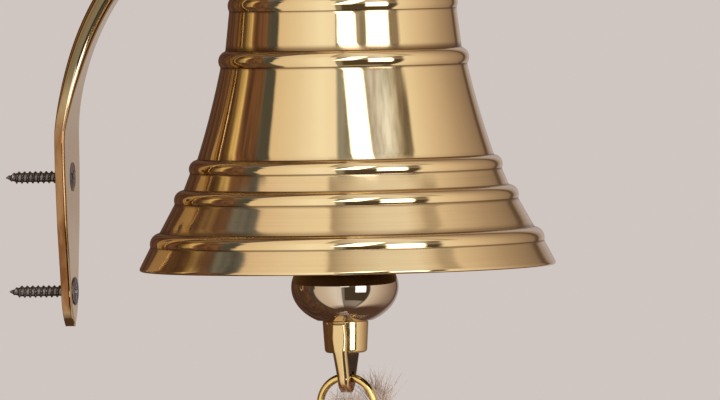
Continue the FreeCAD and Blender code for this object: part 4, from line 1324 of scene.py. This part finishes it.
def make_world():
    """A soft studio: a pale panel to the left of the camera, dark gaps with two bright windows
    ahead, a warm wall to the right, and a dark post far left. The camera itself sees it plain."""
    world = bpy.data.worlds.new("studio")
    bpy.context.scene.world = world
    world.use_nodes = True
    world.node_tree.nodes.clear()
    nodes = Nodes(world.node_tree)
    turn = nodes.add("VectorRotate", {"Vector": nodes.coords("Generated"), "Angle": -CAMERA_AZIMUTH},
                     rotation_type="Z_AXIS")
    direction = turn.outputs["Vector"]
    x, y, z = nodes.split(direction)
    degrees = 180 / pi
    azimuth = nodes.times(nodes.math("ARCTAN2", x, nodes.times(y, -1.0)), degrees)
    elevation = nodes.times(nodes.math("ARCSINE", z), degrees)
    place = nodes.plus(nodes.math("DIVIDE", azimuth, 360.0), 0.5)

    low_left = [
        (-180, (0.10, 0.055, 0.04)), (-150, (0.085, 0.042, 0.028)), (-128, (0.14, 0.075, 0.045)),
        (-117, (0.085, 0.04, 0.025)), (-113, (0.20, 0.13, 0.055)), (-109, (0.50, 0.36, 0.17)),
        (-104, (0.62, 0.46, 0.24)), (-101, (0.14, 0.07, 0.045)), (-83, (0.155, 0.08, 0.05)),
        (-79, SLATE), (-69, SLATE), (-67, (0.80, 0.66, 0.52)), (-45, (0.88, 0.80, 0.70)),
        (-22, (1.04, 1.02, 0.98)),
    ]
    under_left = [
        (-180, (0.10, 0.055, 0.04)), (-150, (0.085, 0.045, 0.03)), (-101, (0.12, 0.068, 0.043)),
        (-83, (0.155, 0.085, 0.052)), (-79, SLATE), (-73, SLATE), (-69, (0.80, 0.68, 0.54)),
        (-45, (0.88, 0.80, 0.70)), (-22, (1.04, 1.02, 0.98)),
    ]
    high_left = [
        (-180, (0.10, 0.055, 0.04)), (-150, (0.095, 0.055, 0.04)), (-127, (0.09, 0.05, 0.03)),
        (-124, (0.21, 0.135, 0.08)), (-113, (0.25, 0.16, 0.09)), (-110, (0.15, 0.083, 0.05)),
        (-98, (0.17, 0.095, 0.07)), (-95, (0.14, 0.145, 0.16)), (-76, (0.11, 0.115, 0.14)),
        (-73, (0.78, 0.64, 0.54)), (-45, (0.88, 0.79, 0.70)),
    ]
    right = [
        (84, (0.74, 0.62, 0.53)), (112, (0.47, 0.37, 0.31)), (141, (0.27, 0.20, 0.16)),
        (145, (0.13, 0.085, 0.06)), (149, (0.13, 0.085, 0.06)), (153, (0.33, 0.27, 0.26)),
        (164, (0.48, 0.42, 0.42)), (180, (0.38, 0.33, 0.32)),
    ]
    dark_middle = [
        (-8.5, (1.0, 0.97, 0.92)), (-7, (0.30, 0.28, 0.26)), (22, (0.38, 0.35, 0.33)),
        (46, (0.42, 0.40, 0.36)), (49, (0.28, 0.235, 0.20)), (56, (0.26, 0.21, 0.18)),
        (58.5, (0.96, 0.88, 0.78)),
    ]
    grey_middle = [
        (-8.5, (1.0, 0.95, 0.90)), (-6, (0.31, 0.32, 0.33)), (20, (0.44, 0.44, 0.47)),
        (26, (0.68, 0.70, 0.82)), (40, (0.84, 0.90, 1.06)), (47, (0.60, 0.58, 0.58)),
        (52, (0.25, 0.21, 0.18)), (59, (0.22, 0.18, 0.15)), (62, (0.93, 0.86, 0.76)),
    ]
    high_middle = [
        (-16, (0.95, 0.86, 0.76)), (-13, (0.42, 0.35, 0.29)), (-4, (0.58, 0.50, 0.44)),
        (8, (0.74, 0.67, 0.62)), (26, (0.86, 0.82, 0.80)), (52, (0.90, 0.85, 0.82)),
        (62, (0.72, 0.62, 0.54)), (67, (0.50, 0.42, 0.36)), (75, (0.50, 0.42, 0.36)),
        (79, (0.80, 0.68, 0.58)),
    ]
    under_ring = nodes.ramp(place, studio_ring(under_left, dark_middle, right))
    low_ring = nodes.ramp(place, studio_ring(low_left, dark_middle, right))
    mid_ring = nodes.ramp(place, studio_ring(low_left, grey_middle, right))
    high_ring = nodes.ramp(place, studio_ring(high_left, high_middle, right[1:]))
    colour = nodes.mix(nodes.remap(elevation, -6.0, -3.0), under_ring, low_ring)
    colour = nodes.mix(nodes.remap(elevation, 19.0, 25.0), colour, mid_ring)
    raised = nodes.plus(elevation, nodes.times(nodes.size(azimuth), 0.09))
    colour = nodes.mix(nodes.remap(raised, 37.0, 43.0), colour, high_ring)

    blotches = nodes.noise(direction, 9.0, 4.0, 0.6)
    ahead = window(nodes, azimuth, elevation, (29, 14), (60, 46), 3.0)
    blotted = nodes.mix(nodes.remap(blotches, 0.35, 0.65), (0.72, 0.70, 0.66), (1.22, 1.22, 1.22))
    colour = nodes.mix(ahead, colour, nodes.mix(1.0, colour, blotted, "MULTIPLY"))

    dusk = window(nodes, azimuth, elevation, (27, -22), (57, 54), 2.0)
    colour = nodes.mix(dusk, colour, (0.09, 0.07, 0.048))
    wood = nodes.remap(nodes.grain(direction, (14.0, 14.0, 1.2)), 0.35, 0.65)
    post = nodes.remap(azimuth, -76.0, -80.0)
    grain = nodes.mix(wood, (0.65, 0.65, 0.65), (1.35, 1.32, 1.25))
    colour = nodes.mix(post, colour, nodes.mix(1.0, colour, grain, "MULTIPLY"))

    tilt = nodes.times(nodes.remap(azimuth, 60.0, 150.0, kind="LINEAR"), 44.0)
    below = nodes.remap(nodes.minus(elevation, tilt), -62.0, -80.0)
    colour = nodes.mix(below, colour, (0.12, 0.07, 0.05))
    leaning = nodes.minus(azimuth, nodes.times(elevation, 0.5))
    first = window(nodes, leaning, elevation, (-3.0, 22), (18, 34), 1.5)
    second = window(nodes, azimuth, elevation, (34.7, 1), (23, 36), 1.5)
    for light in (first, second):
        colour = nodes.mix(light, colour, (3.4, 3.4, 3.5))

    seen = nodes.add("Background", {"Color": BACKGROUND})
    mirrored = nodes.add("Background", {"Color": colour})
    ray = nodes.add("LightPath").outputs["Is Camera Ray"]
    chosen = nodes.add("MixShader", {0: ray, 1: mirrored.outputs[0], 2: seen.outputs[0]})
    nodes.add("OutputWorld", {"Surface": chosen.outputs[0]})


FLOOR_HEIGHT = -0.36
FLOOR_RADIUS = 5.0


def make_floor():
    disc = bmesh.new()
    bmesh.ops.create_circle(disc, cap_ends=True, segments=128, radius=FLOOR_RADIUS)
    mesh = bpy.data.meshes.new("floor")
    disc.to_mesh(mesh)
    disc.free()
    floor = link(bpy.data.objects.new("floor", mesh))
    floor.location = (REACH * MM, 0, FLOOR_HEIGHT)
    material, nodes, shader = new_material("floor_paper")
    nodes.feed(shader, {"Base Color": (0.72, 0.68, 0.66), "Roughness": 0.9,
                        "Specular IOR Level": 0.1})
    mesh.materials.append(material)
    floor.visible_glossy = False


def make_soft_light(name, azimuth, elevation, distance, size, power):
    """A soft box that lights cloth and floor; the metal mirrors the studio instead."""
    data = bpy.data.lights.new(name, "AREA")
    data.shape = "DISK"
    data.size = size
    data.energy = power
    light = link(bpy.data.objects.new(name, data))
    a, e = radians(azimuth) + CAMERA_AZIMUTH, radians(elevation)
    away = Vector((sin(a) * cos(e), -cos(a) * cos(e), sin(e)))
    light.location = bell_axis + away * distance
    light.rotation_euler = away.to_track_quat("Z", "Y").to_euler()
    light.visible_glossy = False


bpy.context.scene.view_settings.view_transform = "Standard"
make_world()
make_floor()
make_soft_light("key", azimuth=-40, elevation=40, distance=2.0, size=1.2, power=20.0)
make_soft_light("fill", azimuth=55, elevation=25, distance=2.2, size=1.4, power=10.0)
